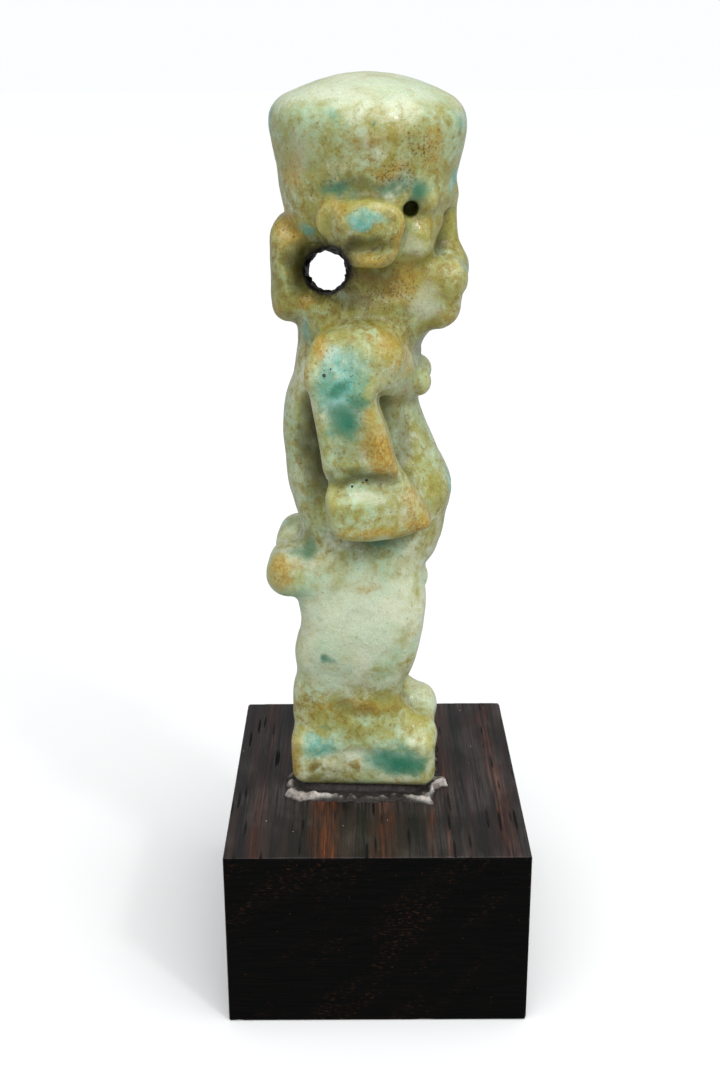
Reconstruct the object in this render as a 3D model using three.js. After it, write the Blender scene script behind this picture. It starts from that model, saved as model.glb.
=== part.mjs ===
// A small moulded faience amulet of a squat, lion-eared dwarf god with a flared, domed headdress,
// pierced behind the ears for a cord and stuck on a block of dark wood with a dab of putty.
//
// Millimetres, +Z up. The origin is the middle of the block's underside and the figure faces -Y.
// The amulet is described by a field: a number for every point of space that is negative inside the
// faience. Soft forms are blended into one another in that field, as wet paste is pressed in a mould,
// and its zero surface is then meshed. Points of the figure are written [side, fore, up], with side
// out from its middle plane, fore towards its face and up from the underside of its own base.
import * as THREE from "three";

// Driving dimensions
const FIGURE_HEIGHT = 47.4;
const FIGURE_PLACE = { x: 1.2, y: 0.6, turnDegrees: 3 };
const BLOCK = { long: 22.7, wide: 20, high: 12.6, edge: 0.2, corner: 0.4 };
const PUTTY_THICKNESS = 0.5;

// Mesh cells: one width all over, and heights that are finer over the head
const CELL = { level: 0.8, high: 0.9, highOnHead: 0.7, headFrom: 30.5, headTo: 41.5 };
const SOLE_TOLERANCE = 0.12;

// Plain helpers

const length = (...v) => Math.hypot(...v);
const clamp = (v, low, high) => Math.min(Math.max(v, low), high);
const mix = (a, b, t) => a + (b - a) * t;
const average = (numbers) => numbers.reduce((sum, n) => sum + n, 0) / numbers.length;

function smoothstep(low, high, v) {
  const t = clamp((v - low) / (high - low), 0, 1);
  return t * t * (3 - 2 * t);
}

// Blends of fields: each takes the width of the soft seam between the two forms.

function join(a, b, seam) {
  const h = Math.max(seam - Math.abs(a - b), 0) / seam;
  return Math.min(a, b) - (h * h * seam) / 4;
}

const meet = (a, b, seam) => -join(-a, -b, seam);
const cut = (a, b, seam) => meet(a, -b, seam);

// Forms

function ellipsoid(p, centre, radii) {
  const q = p.map((v, i) => (v - centre[i]) / radii[i]);
  const k0 = length(...q);
  const k1 = length(...q.map((v, i) => v / radii[i]));
  return k1 < 1e-9 ? -Math.min(...radii) : (k0 * (k0 - 1)) / k1;
}

function roundBox(p, centre, half, round) {
  const q = p.map((v, i) => Math.abs(v - centre[i]) - half[i] + round);
  const outside = length(...q.map((v) => Math.max(v, 0)));
  return outside + Math.min(Math.max(...q), 0) - round;
}

// A round bar whose radius goes from r0 at the point a to r1 at b.
function limb(p, a, b, r0, r1 = r0) {
  const along = b.map((v, i) => v - a[i]);
  const from = p.map((v, i) => v - a[i]);
  const dot = along.reduce((sum, v, i) => sum + v * from[i], 0);
  const t = clamp(dot / along.reduce((sum, v) => sum + v * v, 0), 0, 1);
  return length(...from.map((v, i) => v - along[i] * t)) - mix(r0, r1, t);
}

// Signed distance in the plane to a closed outline.
function outlineDistance(x, y, outline) {
  let nearest = Infinity;
  let inside = false;
  for (let i = 0, j = outline.length - 1; i < outline.length; j = i++) {
    const [ax, ay] = outline[i];
    const [bx, by] = outline[j];
    const [ex, ey] = [bx - ax, by - ay];
    const [wx, wy] = [x - ax, y - ay];
    const t = clamp((wx * ex + wy * ey) / (ex * ex + ey * ey), 0, 1);
    nearest = Math.min(nearest, length(wx - ex * t, wy - ey * t));
    if (ay > y !== by > y && x < ax + ((y - ay) * ex) / ey) inside = !inside;
  }
  return inside ? -nearest : nearest;
}

// A slab of an outline in the fore and up plane, grown by a corner radius, about a side position.
function slab(p, outline, corner, middle, half, edge) {
  const across = outlineDistance(p[1], p[2], outline) - corner + edge;
  const out = Math.abs(p[0] - middle) - half + edge;
  const outside = length(Math.max(across, 0), Math.max(out, 0));
  return outside + Math.min(Math.max(across, out), 0) - edge;
}

// A smooth curve's value of a column of the stations at a height.
function stationValue(stations, column, up) {
  const last = stations.length - 1;
  let i = 0;
  while (i < last - 1 && up > stations[i + 1][0]) i++;
  const at = (k) => stations[clamp(k, 0, last)];
  const span = at(i + 1)[0] - at(i)[0];
  const slope = (k) => (at(k + 1)[column] - at(k - 1)[column]) / (at(k + 1)[0] - at(k - 1)[0]);
  const [y0, y1] = [at(i)[column], at(i + 1)[column]];
  const [m0, m1] = [slope(i) * span, slope(i + 1) * span];
  const t = clamp((up - at(i)[0]) / span, 0, 1);
  const [t2, t3] = [t * t, t * t * t];
  return (2 * t3 - 3 * t2 + 1) * y0 + (t3 - 2 * t2 + t) * m0 + (3 * t2 - 2 * t3) * y1 + (t3 - t2) * m1;
}

// A form with rounded level sections. Each station is [up, back, front, side half width, side middle],
// and square is the power of the section's superellipse.
function loft(p, stations, square, endSeam) {
  const up = clamp(p[2], stations[0][0], stations.at(-1)[0]);
  const [back, front, half, middle] = [1, 2, 3, 4].map((c) => stationValue(stations, c, up));
  const fore = p[1] - (back + front) / 2;
  const side = p[0] - middle;
  const reach = Math.max(length(fore, side), 1e-6);
  const foreShare = Math.abs(fore) / ((front - back) / 2);
  const sideShare = Math.abs(side) / half;
  const share = Math.pow(Math.pow(foreShare, square) + Math.pow(sideShare, square), 1 / square);
  const around = reach - reach / Math.max(share, 1e-6);
  const ends = Math.max(stations[0][0] - p[2], p[2] - stations.at(-1)[0]);
  return meet(around, ends, endSeam);
}

// The amulet's forms, from its base up. Both sides are alike, so each form is made once, on the side
// where the distance from the middle plane is positive.

const BASE = { half: [4.4, 4.95], centreFore: -0.1, top: 3.9, round: 0.9 };

function base(p) {
  const middleUp = BASE.top / 2;
  return roundBox(p, [0, BASE.centreFore, middleUp], [...BASE.half, middleUp], BASE.round);
}

const LEG_STATIONS = [
  [3.4, -4.8, 2.9, 1.8, 2.5],
  [5.0, -4.95, 2.6, 1.75, 2.5],
  [7.0, -4.9, 2.6, 1.8, 2.6],
  [8.4, -4.65, 3.1, 1.95, 2.8],
  [10.0, -4.75, 3.6, 2.2, 3.0],
  [12.2, -4.3, 4.0, 2.4, 3.1],
  [14.5, -4.6, 4.1, 2.5, 2.9],
  [17.0, -4.6, 3.4, 2.6, 2.5],
];

function leg(p) {
  const thighAndShin = loft(p, LEG_STATIONS, 2.4, 0.8);
  const foot = limb(p, [2.4, -0.6, 4.6], [2.5, 3.6, 3.55], 1.7, 1.35);
  const buttock = roundBox(p, [2.8, -4.0, 15.8], [2.4, 2.4, 1.6], 1.4);
  const web = roundBox(p, [0, -0.6, 9.5], [1.2, 1.3, 6.5], 0.4);
  return join(join(join(thighAndShin, foot, 1.4), buttock, 0.7), web, 0.4);
}

const TORSO_STATIONS = [
  [15.6, -4.0, 4.4, 4.3, 0],
  [17.0, -4.4, 5.0, 4.8, 0],
  [19.0, -4.6, 5.4, 5.0, 0],
  [21.2, -5.2, 5.8, 4.9, 0],
  [23.4, -5.4, 4.9, 4.5, 0],
  [25.2, -5.5, 4.1, 4.2, 0],
  [27.0, -5.3, 3.5, 4.3, 0],
  [29.0, -4.7, 3.6, 4.7, 0],
  [31.5, -4.2, 3.4, 4.0, 0],
];

function torso(p) {
  const trunk = loft(p, TORSO_STATIONS, 2.3, 1.0);
  const breast = limb(p, [2.7, 1.95, 28.7], [5.6, 0.9, 30.6], 1.45, 1.9);
  const nipple = ellipsoid(p, [1.9, 3.7, 28.4], [0.9, 0.6, 0.8]);
  const collar = limb(p, [2.4, 1.0, 30.3], [5.4, -0.4, 30.4], 1.8, 2.0);
  const groin = ellipsoid(p, [0, 3.2, 14.3], [1.0, 1.0, 1.3]);
  const navel = ellipsoid(p, [0, 6.1, 20.6], [0.5, 0.6, 0.5]);
  const chest = join(join(trunk, breast, 0.6), nipple, 0.8);
  return cut(join(join(chest, groin, 0.5), collar, 0.9), navel, 0.3);
}

// The arm seen from the side, as [fore, up], from behind the shoulder down round the hand and back.
const ARM_OUTLINE = [
  [-3.1, 31.4],
  [-3.4, 29.6],
  [-3.0, 28.4],
  [-2.35, 24.0],
  [-2.0, 23.1],
  [-2.2, 22.0],
  [-1.9, 20.2],
  [-1.1, 19.4],
  [1.3, 19.2],
  [3.7, 19.7],
  [4.35, 20.5],
  [2.4, 23.8],
  [1.8, 26.0],
  [1.0, 28.2],
  [1.4, 29.1],
  [2.8, 29.4],
  [2.9, 30.8],
  [2.1, 32.1],
  [0.8, 32.5],
  [-2.2, 32.3],
];
const ARM = { side: 6.65, half: 1.45, edge: 0.8, wristUp: 23.1 };
const ARM_TURN = { hand: 1.1, shoulder: 1.4, chest: 2.3 };

function arm(p) {
  const atHand = smoothstep(ARM.wristUp + 2, ARM.wristUp - 1, p[2]) * smoothstep(-1, 4.4, p[1]);
  const atShoulder = smoothstep(28.5, 33, p[2]);
  const atChest = smoothstep(0.4, 3.2, p[1]) * smoothstep(27.5, 29, p[2]);
  const inward = ARM_TURN.hand * atHand + ARM_TURN.shoulder * atShoulder + ARM_TURN.chest * atChest;
  const whole = slab(p, ARM_OUTLINE, 0, ARM.side - inward, ARM.half, ARM.edge);
  const crease = limb(p, [8.75, -3, 23.2], [8.3, 3.4, 22.9], 1.1);
  return cut(whole, crease, 0.5);
}

const HEAD_STATIONS = [
  [30.4, -3.6, 3.0, 3.4, 0],
  [31.6, -4.2, 4.2, 4.2, 0],
  [33.2, -4.4, 4.7, 4.6, 0],
  [35.0, -4.4, 4.7, 4.7, 0],
  [37.0, -4.5, 4.6, 4.8, 0],
  [39.0, -5.0, 4.9, 5.1, 0],
  [41.6, -5.35, 5.2, 5.4, 0],
];
const MANE_STATIONS = [
  [32.2, -5.8, -2.6, 2.4, 0],
  [33.4, -5.95, -2.6, 3.1, 0],
  [35.6, -5.95, -2.6, 3.5, 0],
  [37.6, -5.95, -2.6, 3.3, 0],
  [38.8, -5.8, -2.6, 2.4, 0],
];

function face(p) {
  const brow = limb(p, [0, 5.0, 40.2], [3.7, 3.7, 40.1], 0.85, 1.0);
  const bridge = limb(p, [0, 4.85, 39.8], [0, 5.0, 36.8], 0.8, 1.0);
  const nose = ellipsoid(p, [0, 4.85, 35.9], [1.9, 1.65, 1.1]);
  const eye = ellipsoid(p, [2.3, 3.9, 38.6], [1.2, 0.95, 0.8]);
  const cheek = roundBox(p, [3.45, 2.8, 37.7], [1.5, 1.6, 1.45], 1.25);
  const muzzle = roundBox(p, [0, 3.9, 35.0], [3.8, 2.6, 1.5], 1.4);
  const jaw = roundBox(p, [0, 3.1, 33.5], [3.6, 3.1, 1.7], 1.6);
  return [brow, bridge, nose, eye, cheek, muzzle, jaw];
}

function head(p) {
  const skull = loft(p, HEAD_STATIONS, 2.6, 0.8);
  const withFace = face(p).reduce((solid, feature) => join(solid, feature, 0.7), skull);
  const mouth = limb(p, [0, 6.8, 34.1], [2.3, 6.2, 34.0], 0.5, 0.4);
  const underEar = ellipsoid(p, [5.5, 0.6, 35.1], [1.3, 2.4, 1.4]);
  const mane = loft(p, MANE_STATIONS, 3.5, 1.0);
  return join(cut(cut(withFace, mouth, 0.3), underEar, 0.7), mane, 0.6);
}

// The ear is a thick upright flap with a full upper lobe over a shallow hollow.
const EAR_CORE = [
  [-0.3, 37.65],
  [1.1, 37.65],
  [1.45, 38.95],
  [-1.5, 38.95],
];
const EAR = { side: 5.75, half: 1.6, corner: 1.25, edge: 0.55 };

function ear(p) {
  const inward = 1.3 * smoothstep(1.2, -2.8, p[1]);
  const flap = slab(p, EAR_CORE, EAR.corner, EAR.side - inward, EAR.half, EAR.edge);
  const hollow = ellipsoid(p, [8.0, -0.4, 37.6], [1.45, 2.6, 0.85]);
  const lobe = ellipsoid(p, [6.3, 0.4, 39.0], [1.25, 2.1, 1.3]);
  return join(cut(flap, hollow, 0.4), lobe, 0.5);
}

// The headdress: a cup that flares upwards, under a shallow dome.
const CUP = { lowUp: 39.5, highUp: 45.0, low: [5.5, 5.2], high: [6.65, 6.4], centreFore: 0.2 };
const DOME = { radius: 10.6, rim: 1.4 };

function headdress(p) {
  const t = clamp((p[2] - CUP.lowUp) / (CUP.highUp - CUP.lowUp), -0.2, 1.4);
  const [side, fore] = [0, 1].map((i) => mix(CUP.low[i], CUP.high[i], t));
  const around = (length(p[0] / side, (p[1] - CUP.centreFore) / fore) - 1) * Math.min(side, fore);
  const dome = length(p[0], p[1], p[2] - (FIGURE_HEIGHT - DOME.radius)) - DOME.radius;
  return Math.max(meet(around, dome, DOME.rim), CUP.lowUp - p[2]);
}

// The hole for the cord runs from side to side behind the ears, and falls and drifts back a little
// on its way.
const BORE = { radius: 1.37, fore: -2.45, up: 35.2, drift: -0.06, fall: -0.16 };

function bore(side, fore, up) {
  const offFore = fore - BORE.fore - BORE.drift * side;
  const offUp = up - BORE.up - BORE.fall * side;
  return length(offFore, offUp) - BORE.radius;
}

// The whole amulet, with the pits at its temples and the dished mouths of the hole.
function amuletField(side, fore, up) {
  const p = [Math.abs(side), fore, up];
  const body = join(join(base(p), leg(p), 0.7), torso(p), 0.9);
  const withArms = join(body, arm(p), 0.6);
  const top = join(join(head(p), headdress(p), 0.5), ear(p), 0.7);
  const whole = join(withArms, top, 1.1);
  const temple = limb(p, [6.5, 3.2, 39.6], [3.7, 2.85, 39.6], 0.52, 0.4);
  const dish = ellipsoid(p, [5.2, -3.1, 35.7], [3.0, 1.45, 2.3]);
  return cut(cut(cut(whole, temple, 0.2), dish, 0.6), bore(side, fore, up), 0.25);
}

// Meshing of a field

// Grid lines from low to high, each a cell on from the last.
function gridLines(low, high, cellAt) {
  const lines = [low];
  while (lines.at(-1) < high) lines.push(lines.at(-1) + cellAt(lines.at(-1)));
  return lines;
}

// Meshes the zero surface by surface nets: one vertex in each cell of the grid that the surface
// crosses, drawn onto the surface, and one quad across each crossed edge of the grid.
function surfaceNet(field, lines) {
  const counts = lines.map((axisLines) => axisLines.length);
  const steps = [1, counts[0], counts[0] * counts[1]];
  const place = (node) => node.map((n, axis) => lines[axis][n]);
  const numberOf = (node) => node[0] * steps[0] + node[1] * steps[1] + node[2] * steps[2];
  const nodes = gridNodes([0, 0, 0], counts);
  const values = new Float64Array(nodes.length);
  for (const node of nodes) values[numberOf(node)] = field(...place(node));
  const cells = gridNodes([0, 0, 0], counts.map((n) => n - 1)).map(numberOf);
  fillPinches(values, cells, steps);

  const vertexOf = new Map();
  const positions = [];
  for (const node of gridNodes([0, 0, 0], counts.map((n) => n - 1))) {
    const corners = CUBE_CORNERS.map((corner) => node.map((n, axis) => n + corner[axis]));
    const cornerValues = corners.map((corner) => values[numberOf(corner)]);
    const [low, high] = [place(corners[0]), place(corners[7])];
    const crossings = cellCrossings(cornerValues, low, high);
    if (!crossings.length) continue;
    const middle = [0, 1, 2].map((axis) => average(crossings.map((point) => point[axis])));
    vertexOf.set(numberOf(node), positions.length / 3);
    positions.push(...settle(field, middle, low, high));
  }

  const indices = [];
  for (const node of gridNodes([1, 1, 1], counts.map((n) => n - 1)).map(numberOf))
    for (let axis = 0; axis < 3; axis++) {
      const inside = values[node] < 0;
      if (inside === values[node + steps[axis]] < 0) continue;
      const [u, w] = [steps[(axis + 1) % 3], steps[(axis + 2) % 3]];
      const ring = [node - u - w, node - w, node, node - u].map((cell) => vertexOf.get(cell));
      if (inside) ring.reverse();
      indices.push(...splitQuad(ring, positions));
    }
  return { positions, indices };
}

const CUBE_CORNERS = [0, 1, 2, 3, 4, 5, 6, 7].map((c) => [c & 1, (c >> 1) & 1, c >> 2]);

function gridNodes(from, to) {
  const nodes = [];
  for (let k = from[2]; k < to[2]; k++)
    for (let j = from[1]; j < to[1]; j++)
      for (let i = from[0]; i < to[0]; i++) nodes.push([i, j, k]);
  return nodes;
}

// Fills crevices thinner than a cell, so that the surface never touches itself: a square of the grid
// with only two opposite corners inside gets the shallower of its other two.
function fillPinches(values, cells, steps) {
  let filled = true;
  while (filled) {
    filled = false;
    for (const cell of cells)
      for (const [u, w] of [[0, 1], [1, 2], [0, 2]].map((pair) => pair.map((axis) => steps[axis]))) {
        const square = [cell, cell + u, cell + u + w, cell + w];
        const inside = square.map((node) => values[node] < 0);
        if (inside[0] === inside[1] || inside[0] !== inside[2] || inside[1] !== inside[3]) continue;
        const empty = square.filter((node) => values[node] >= 0);
        const shallower = values[empty[0]] < values[empty[1]] ? empty[0] : empty[1];
        values[shallower] = -1e-3;
        filled = true;
      }
  }
}

// The points where the surface crosses the edges of a cell with the corner values v.
function cellCrossings(v, low, high) {
  const crossings = [];
  for (let a = 0; a < 8; a++)
    for (const bit of [1, 2, 4]) {
      const b = a | bit;
      if (a === b || v[a] < 0 === v[b] < 0) continue;
      const t = v[a] / (v[a] - v[b]);
      const share = CUBE_CORNERS[a].map((c, axis) => mix(c, CUBE_CORNERS[b][axis], t));
      crossings.push(share.map((c, axis) => mix(low[axis], high[axis], c)));
    }
  return crossings;
}

// Draws a vertex onto the surface along the field's slope, without leaving its cell.
function settle(field, point, low, high) {
  const step = 0.03;
  const inset = 0.05;
  let moved = point;
  for (let pass = 0; pass < 3; pass++) {
    const value = field(...moved);
    const slope = [0, 1, 2].map((axis) => {
      const ahead = [...moved];
      ahead[axis] += step;
      return (field(...ahead) - value) / step;
    });
    const steep = slope.reduce((sum, g) => sum + g * g, 0) || 1;
    moved = moved.map((v, axis) => {
      const wanted = v - (value * slope[axis]) / steep;
      return clamp(wanted, mix(low[axis], high[axis], inset), mix(high[axis], low[axis], inset));
    });
  }
  return moved;
}

// Two triangles from a ring of four vertices, across its shorter diagonal.
function splitQuad([a, b, c, d], positions) {
  const gap = (m, n) => length(...[0, 1, 2].map((k) => positions[3 * m + k] - positions[3 * n + k]));
  return gap(a, c) <= gap(b, d) ? [a, b, c, a, c, d] : [a, b, d, b, c, d];
}

// The pieces

// Sets a figure point, given as side, fore and up, in the part's own frame.
function placeFigurePoint(side, fore, up) {
  const turn = THREE.MathUtils.degToRad(FIGURE_PLACE.turnDegrees);
  return [
    FIGURE_PLACE.x + side * Math.cos(turn) - fore * Math.sin(turn),
    FIGURE_PLACE.y - side * Math.sin(turn) - fore * Math.cos(turn),
    BLOCK.high + PUTTY_THICKNESS + up,
  ];
}

function meshGeometry(positions, indices) {
  const geometry = new THREE.BufferGeometry();
  geometry.setAttribute("position", new THREE.Float32BufferAttribute(positions, 3));
  geometry.setIndex(indices);
  geometry.computeVertexNormals();
  return geometry;
}

function amuletGeometry() {
  const onHead = (up) => up > CELL.headFrom && up < CELL.headTo;
  const { positions, indices } = surfaceNet(amuletField, [
    gridLines(-9.6, 9.6, () => CELL.level),
    gridLines(-8.4, 8.4, () => CELL.level),
    gridLines(-1.35, 48.6, (up) => (onHead(up) ? CELL.highOnHead : CELL.high)),
  ]);
  const placed = [];
  for (let i = 0; i < positions.length; i += 3) {
    const up = positions[i + 2] < SOLE_TOLERANCE ? 0 : positions[i + 2];
    placed.push(...placeFigurePoint(positions[i], positions[i + 1], up));
  }
  return meshGeometry(placed, indices);
}

// The putty under the base, squeezed out past it in ragged lumps, each at a [side, fore] place.
const PUTTY_STEPS = 44;
const PUTTY_LUMPS = [
  { at: [-4.6, -4.2], spread: 1.5, out: 1.1, up: 0.45 },
  { at: [-4.7, 3.6], spread: 1.3, out: 1.3, up: 0.5 },
  { at: [-3.0, 5.4], spread: 1.5, out: 0.8, up: 0.2 },
  { at: [-4.8, -0.5], spread: 2.2, out: 0.35, up: 0.1 },
  { at: [-3.2, -5.4], spread: 1.4, out: 0.6, up: 0.15 },
  { at: [4.6, 2.6], spread: 1.7, out: 0.6, up: 0.2 },
  { at: [4.4, -3.8], spread: 1.5, out: 0.8, up: 0.25 },
];

// Rings of the putty, from under the base outwards: a distance out from the base's outline, a share
// of the lumps' reach, and a height above the block made of thickness and of the lumps' own height.
const PUTTY_RINGS = [
  { out: -0.35, share: 0, thickness: 1, lump: 0 },
  { out: 0.12, share: 0, thickness: 1, lump: 0.3 },
  { out: 0.25, share: 0.4, thickness: 1, lump: 1 },
  { out: 0.4, share: 0.85, thickness: 0.5, lump: 0.3 },
  { out: 0.5, share: 1, thickness: 0, lump: 0 },
];

function puttyGeometry() {
  const positions = [];
  const addPoint = (side, fore, up) => positions.push(...placeFigurePoint(side, fore, up - PUTTY_THICKNESS));
  for (const ring of PUTTY_RINGS)
    for (let i = 0; i < PUTTY_STEPS; i++) {
      const turn = (2 * Math.PI * i) / PUTTY_STEPS;
      const lumps = lumpsAt(basePoint(turn, 0));
      const out = ring.out + ring.share * (lumps.out + raggedness(turn));
      addPoint(...basePoint(turn, out), ring.thickness * PUTTY_THICKNESS + ring.lump * lumps.up);
    }
  const top = positions.length / 3;
  const bottom = top + 1;
  addPoint(0, BASE.centreFore, PUTTY_THICKNESS);
  addPoint(0, BASE.centreFore, 0);

  const indices = [];
  const rim = (PUTTY_RINGS.length - 1) * PUTTY_STEPS;
  for (let i = 0; i < PUTTY_STEPS; i++) {
    const next = (i + 1) % PUTTY_STEPS;
    indices.push(top, next, i);
    indices.push(bottom, rim + i, rim + next);
    for (let inner = 0; inner < rim; inner += PUTTY_STEPS) {
      const outer = inner + PUTTY_STEPS;
      indices.push(inner + i, inner + next, outer + i);
      indices.push(outer + i, inner + next, outer + next);
    }
  }
  return meshGeometry(positions, indices);
}

const raggedness = (turn) =>
  0.16 * Math.sin(7 * turn + 1) + 0.12 * Math.sin(13 * turn) + 0.08 * Math.sin(19 * turn + 2);

// A point of the base's outline, at a turn about its middle, moved out by a distance.
function basePoint(turn, out) {
  const square = 8;
  const [side, fore] = [Math.cos(turn), Math.sin(turn)];
  const share = Math.pow(Math.abs(side) ** square + Math.abs(fore) ** square, -1 / square);
  return [side * share * (BASE.half[0] + out), BASE.centreFore + fore * share * (BASE.half[1] + out)];
}

// How far the lumps of putty push out and up at a point of the base's outline.
function lumpsAt([side, fore]) {
  const sum = { out: 0, up: 0 };
  for (const lump of PUTTY_LUMPS) {
    const near = Math.exp(-((length(side - lump.at[0], fore - lump.at[1]) / lump.spread) ** 2));
    sum.out += near * lump.out;
    sum.up += near * lump.up;
  }
  return sum;
}

// The block, an upright box with eased corners and edges.
function blockGeometry() {
  const { long, wide, high, edge, corner } = BLOCK;
  const [x, y] = [long / 2 - edge - corner, wide / 2 - edge - corner];
  const outline = new THREE.Shape();
  outline.absarc(x, -y, corner, -Math.PI / 2, 0, false);
  outline.absarc(x, y, corner, 0, Math.PI / 2, false);
  outline.absarc(-x, y, corner, Math.PI / 2, Math.PI, false);
  outline.absarc(-x, -y, corner, Math.PI, 1.5 * Math.PI, false);
  const geometry = new THREE.ExtrudeGeometry(outline, {
    depth: high - 2 * edge,
    bevelThickness: edge,
    bevelSize: edge,
    bevelSegments: 1,
    curveSegments: 3,
  });
  return geometry.translate(0, 0, edge);
}

function piece(name, geometry, color, roughness) {
  const material = new THREE.MeshStandardMaterial({ color, roughness, metalness: 0 });
  const mesh = new THREE.Mesh(geometry, material);
  mesh.name = name;
  return mesh;
}

const amulet = new THREE.Group();
amulet.add(piece("faience_amulet", amuletGeometry(), 0xa9b38c, 0.35));
amulet.add(piece("mounting_putty", puttyGeometry(), 0xa8a6a4, 0.6));
amulet.add(piece("wooden_block", blockGeometry(), 0x241814, 0.45));

export default amulet;
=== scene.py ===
"""The look of a small moulded faience amulet of a lion-eared dwarf god, stuck on a dark wooden block.

The amulet is described by a field, a number for every point of space that is negative inside the
faience, as in the part's solids but finer. Points of the figure are written (side, fore, up), in
millimetres: side out from its middle plane, fore towards its face and up from its own underside.
"""

import math

import bpy
import numpy as np
from mathutils import Matrix, Vector


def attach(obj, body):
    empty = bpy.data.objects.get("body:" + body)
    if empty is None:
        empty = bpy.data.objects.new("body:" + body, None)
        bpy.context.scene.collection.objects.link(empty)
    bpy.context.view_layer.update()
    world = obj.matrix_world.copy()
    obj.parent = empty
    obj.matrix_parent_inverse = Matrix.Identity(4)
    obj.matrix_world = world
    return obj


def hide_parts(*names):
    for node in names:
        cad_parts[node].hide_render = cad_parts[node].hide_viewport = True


# Driving dimensions, in millimetres
MM = 0.001
FIGURE_HEIGHT = 47.4
FIGURE_PLACE = (1.2, 0.6)
FIGURE_TURN = math.radians(3)
BLOCK_HALF = (11.35, 10.0)
BLOCK_HIGH = 12.6
BLOCK_EDGE = 0.15
BLOCK_SPACING = 0.4
CHIP_DEPTH = 0.06
PUTTY_THICKNESS = 0.5

# The amulet's mesh and its worn surface
CELL = 0.19
GRID_LOW = (-9.6, -8.4, -1.35)
GRID_HIGH = (9.6, 8.4, 48.6)
SOLE_TOLERANCE = 0.12
NOISE_LATTICE = 40
SLOPE_STEP = 0.03
LEAST_STEEPNESS = 0.05
JUST_INSIDE = -0.001

# Wear: how wide its hollows and lumps are, how deep, and the seed of their random values.
WEAR = ((3.2, 0.08, 11), (1.3, 0.045, 12), (0.55, 0.02, 13))
BORE_WEAR = ((0.6, 0.2, 14), (0.3, 0.12, 15))


# Blends of fields: each takes the width of the soft seam between the two forms.


def join(a, b, seam):
    h = np.maximum(seam - np.abs(a - b), 0) / seam
    return np.minimum(a, b) - h * h * seam / 4


def meet(a, b, seam):
    return -join(-a, -b, seam)


def cut(a, b, seam):
    return meet(a, -b, seam)


def smoothstep(low, high, value):
    t = np.clip((value - low) / (high - low), 0, 1)
    return t * t * (3 - 2 * t)


# Forms. A point p is three arrays: side, fore and up.


def length(*parts):
    return np.sqrt(sum(part * part for part in parts))


def ellipsoid(p, centre, radii):
    q = [(v - c) / r for v, c, r in zip(p, centre, radii)]
    k0 = length(*q)
    k1 = length(*[v / r for v, r in zip(q, radii)])
    return k0 * (k0 - 1) / np.maximum(k1, 1e-9)


def round_box(p, centre, half, edge):
    q = [np.abs(v - c) - h + edge for v, c, h in zip(p, centre, half)]
    outside = length(*[np.maximum(v, 0) for v in q])
    deepest = np.maximum(np.maximum(q[0], q[1]), q[2])
    return outside + np.minimum(deepest, 0) - edge


def limb(p, a, b, r0, r1=None):
    """A round bar whose radius goes from r0 at the point a to r1 at b."""
    r1 = r0 if r1 is None else r1
    along = [end - start for start, end in zip(a, b)]
    start = [v - s for v, s in zip(p, a)]
    t = sum(v * d for v, d in zip(start, along)) / sum(d * d for d in along)
    t = np.clip(t, 0, 1)
    return length(*[v - d * t for v, d in zip(start, along)]) - (r0 + (r1 - r0) * t)


def smooth_outline(corners, steps=4):
    """A closed smooth curve through the corners, as a list of points."""
    points = np.array(corners, float)
    before, after, beyond = (np.roll(points, n, axis=0) for n in (1, -1, -2))
    curve = []
    for t in np.arange(steps) / steps:
        bend = 2 * before - 5 * points + 4 * after - beyond
        twist = -before + 3 * points - 3 * after + beyond
        curve.append(points + 0.5 * t * (after - before + t * (bend + t * twist)))
    return np.stack(curve, axis=1).reshape(-1, 2)


def outline_distance(x, y, outline):
    """Signed distance in the plane to a closed outline."""
    nearest = np.full(np.broadcast(x, y).shape, np.inf)
    inside = np.zeros(nearest.shape, bool)
    for (ax, ay), (bx, by) in zip(outline, np.roll(outline, 1, axis=0)):
        ex, ey = bx - ax, by - ay
        wx, wy = x - ax, y - ay
        t = np.clip((wx * ex + wy * ey) / (ex * ex + ey * ey), 0, 1)
        nearest = np.minimum(nearest, length(wx - ex * t, wy - ey * t))
        if ay != by:
            inside ^= ((ay > y) != (by > y)) & (x < ax + (y - ay) * ex / ey)
    return np.where(inside, -nearest, nearest)


def slab(p, outline, corner, middle, half, edge):
    """A slab of an outline in the fore and up plane, grown by a corner radius."""
    across = outline_distance(p[1], p[2], outline) - corner + edge
    out = np.abs(p[0] - middle) - half + edge
    outside = length(np.maximum(across, 0), np.maximum(out, 0))
    return outside + np.minimum(np.maximum(across, out), 0) - edge


def station_value(stations, column, up):
    """A smooth curve's value of a column of the stations at a height."""
    at, values = stations[:, 0], stations[:, column]
    slopes = np.gradient(values)
    slopes[1:-1] = (values[2:] - values[:-2]) / (at[2:] - at[:-2])
    slopes[0] = (values[1] - values[0]) / (at[1] - at[0])
    slopes[-1] = (values[-1] - values[-2]) / (at[-1] - at[-2])
    i = np.clip(np.searchsorted(at, up, side="right") - 1, 0, len(at) - 2)
    span = at[i + 1] - at[i]
    t = np.clip((up - at[i]) / span, 0, 1)
    t2, t3 = t * t, t * t * t
    rise = (t3 - 2 * t2 + t) * slopes[i] * span + (t3 - t2) * slopes[i + 1] * span
    return (2 * t3 - 3 * t2 + 1) * values[i] + (3 * t2 - 2 * t3) * values[i + 1] + rise


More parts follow.
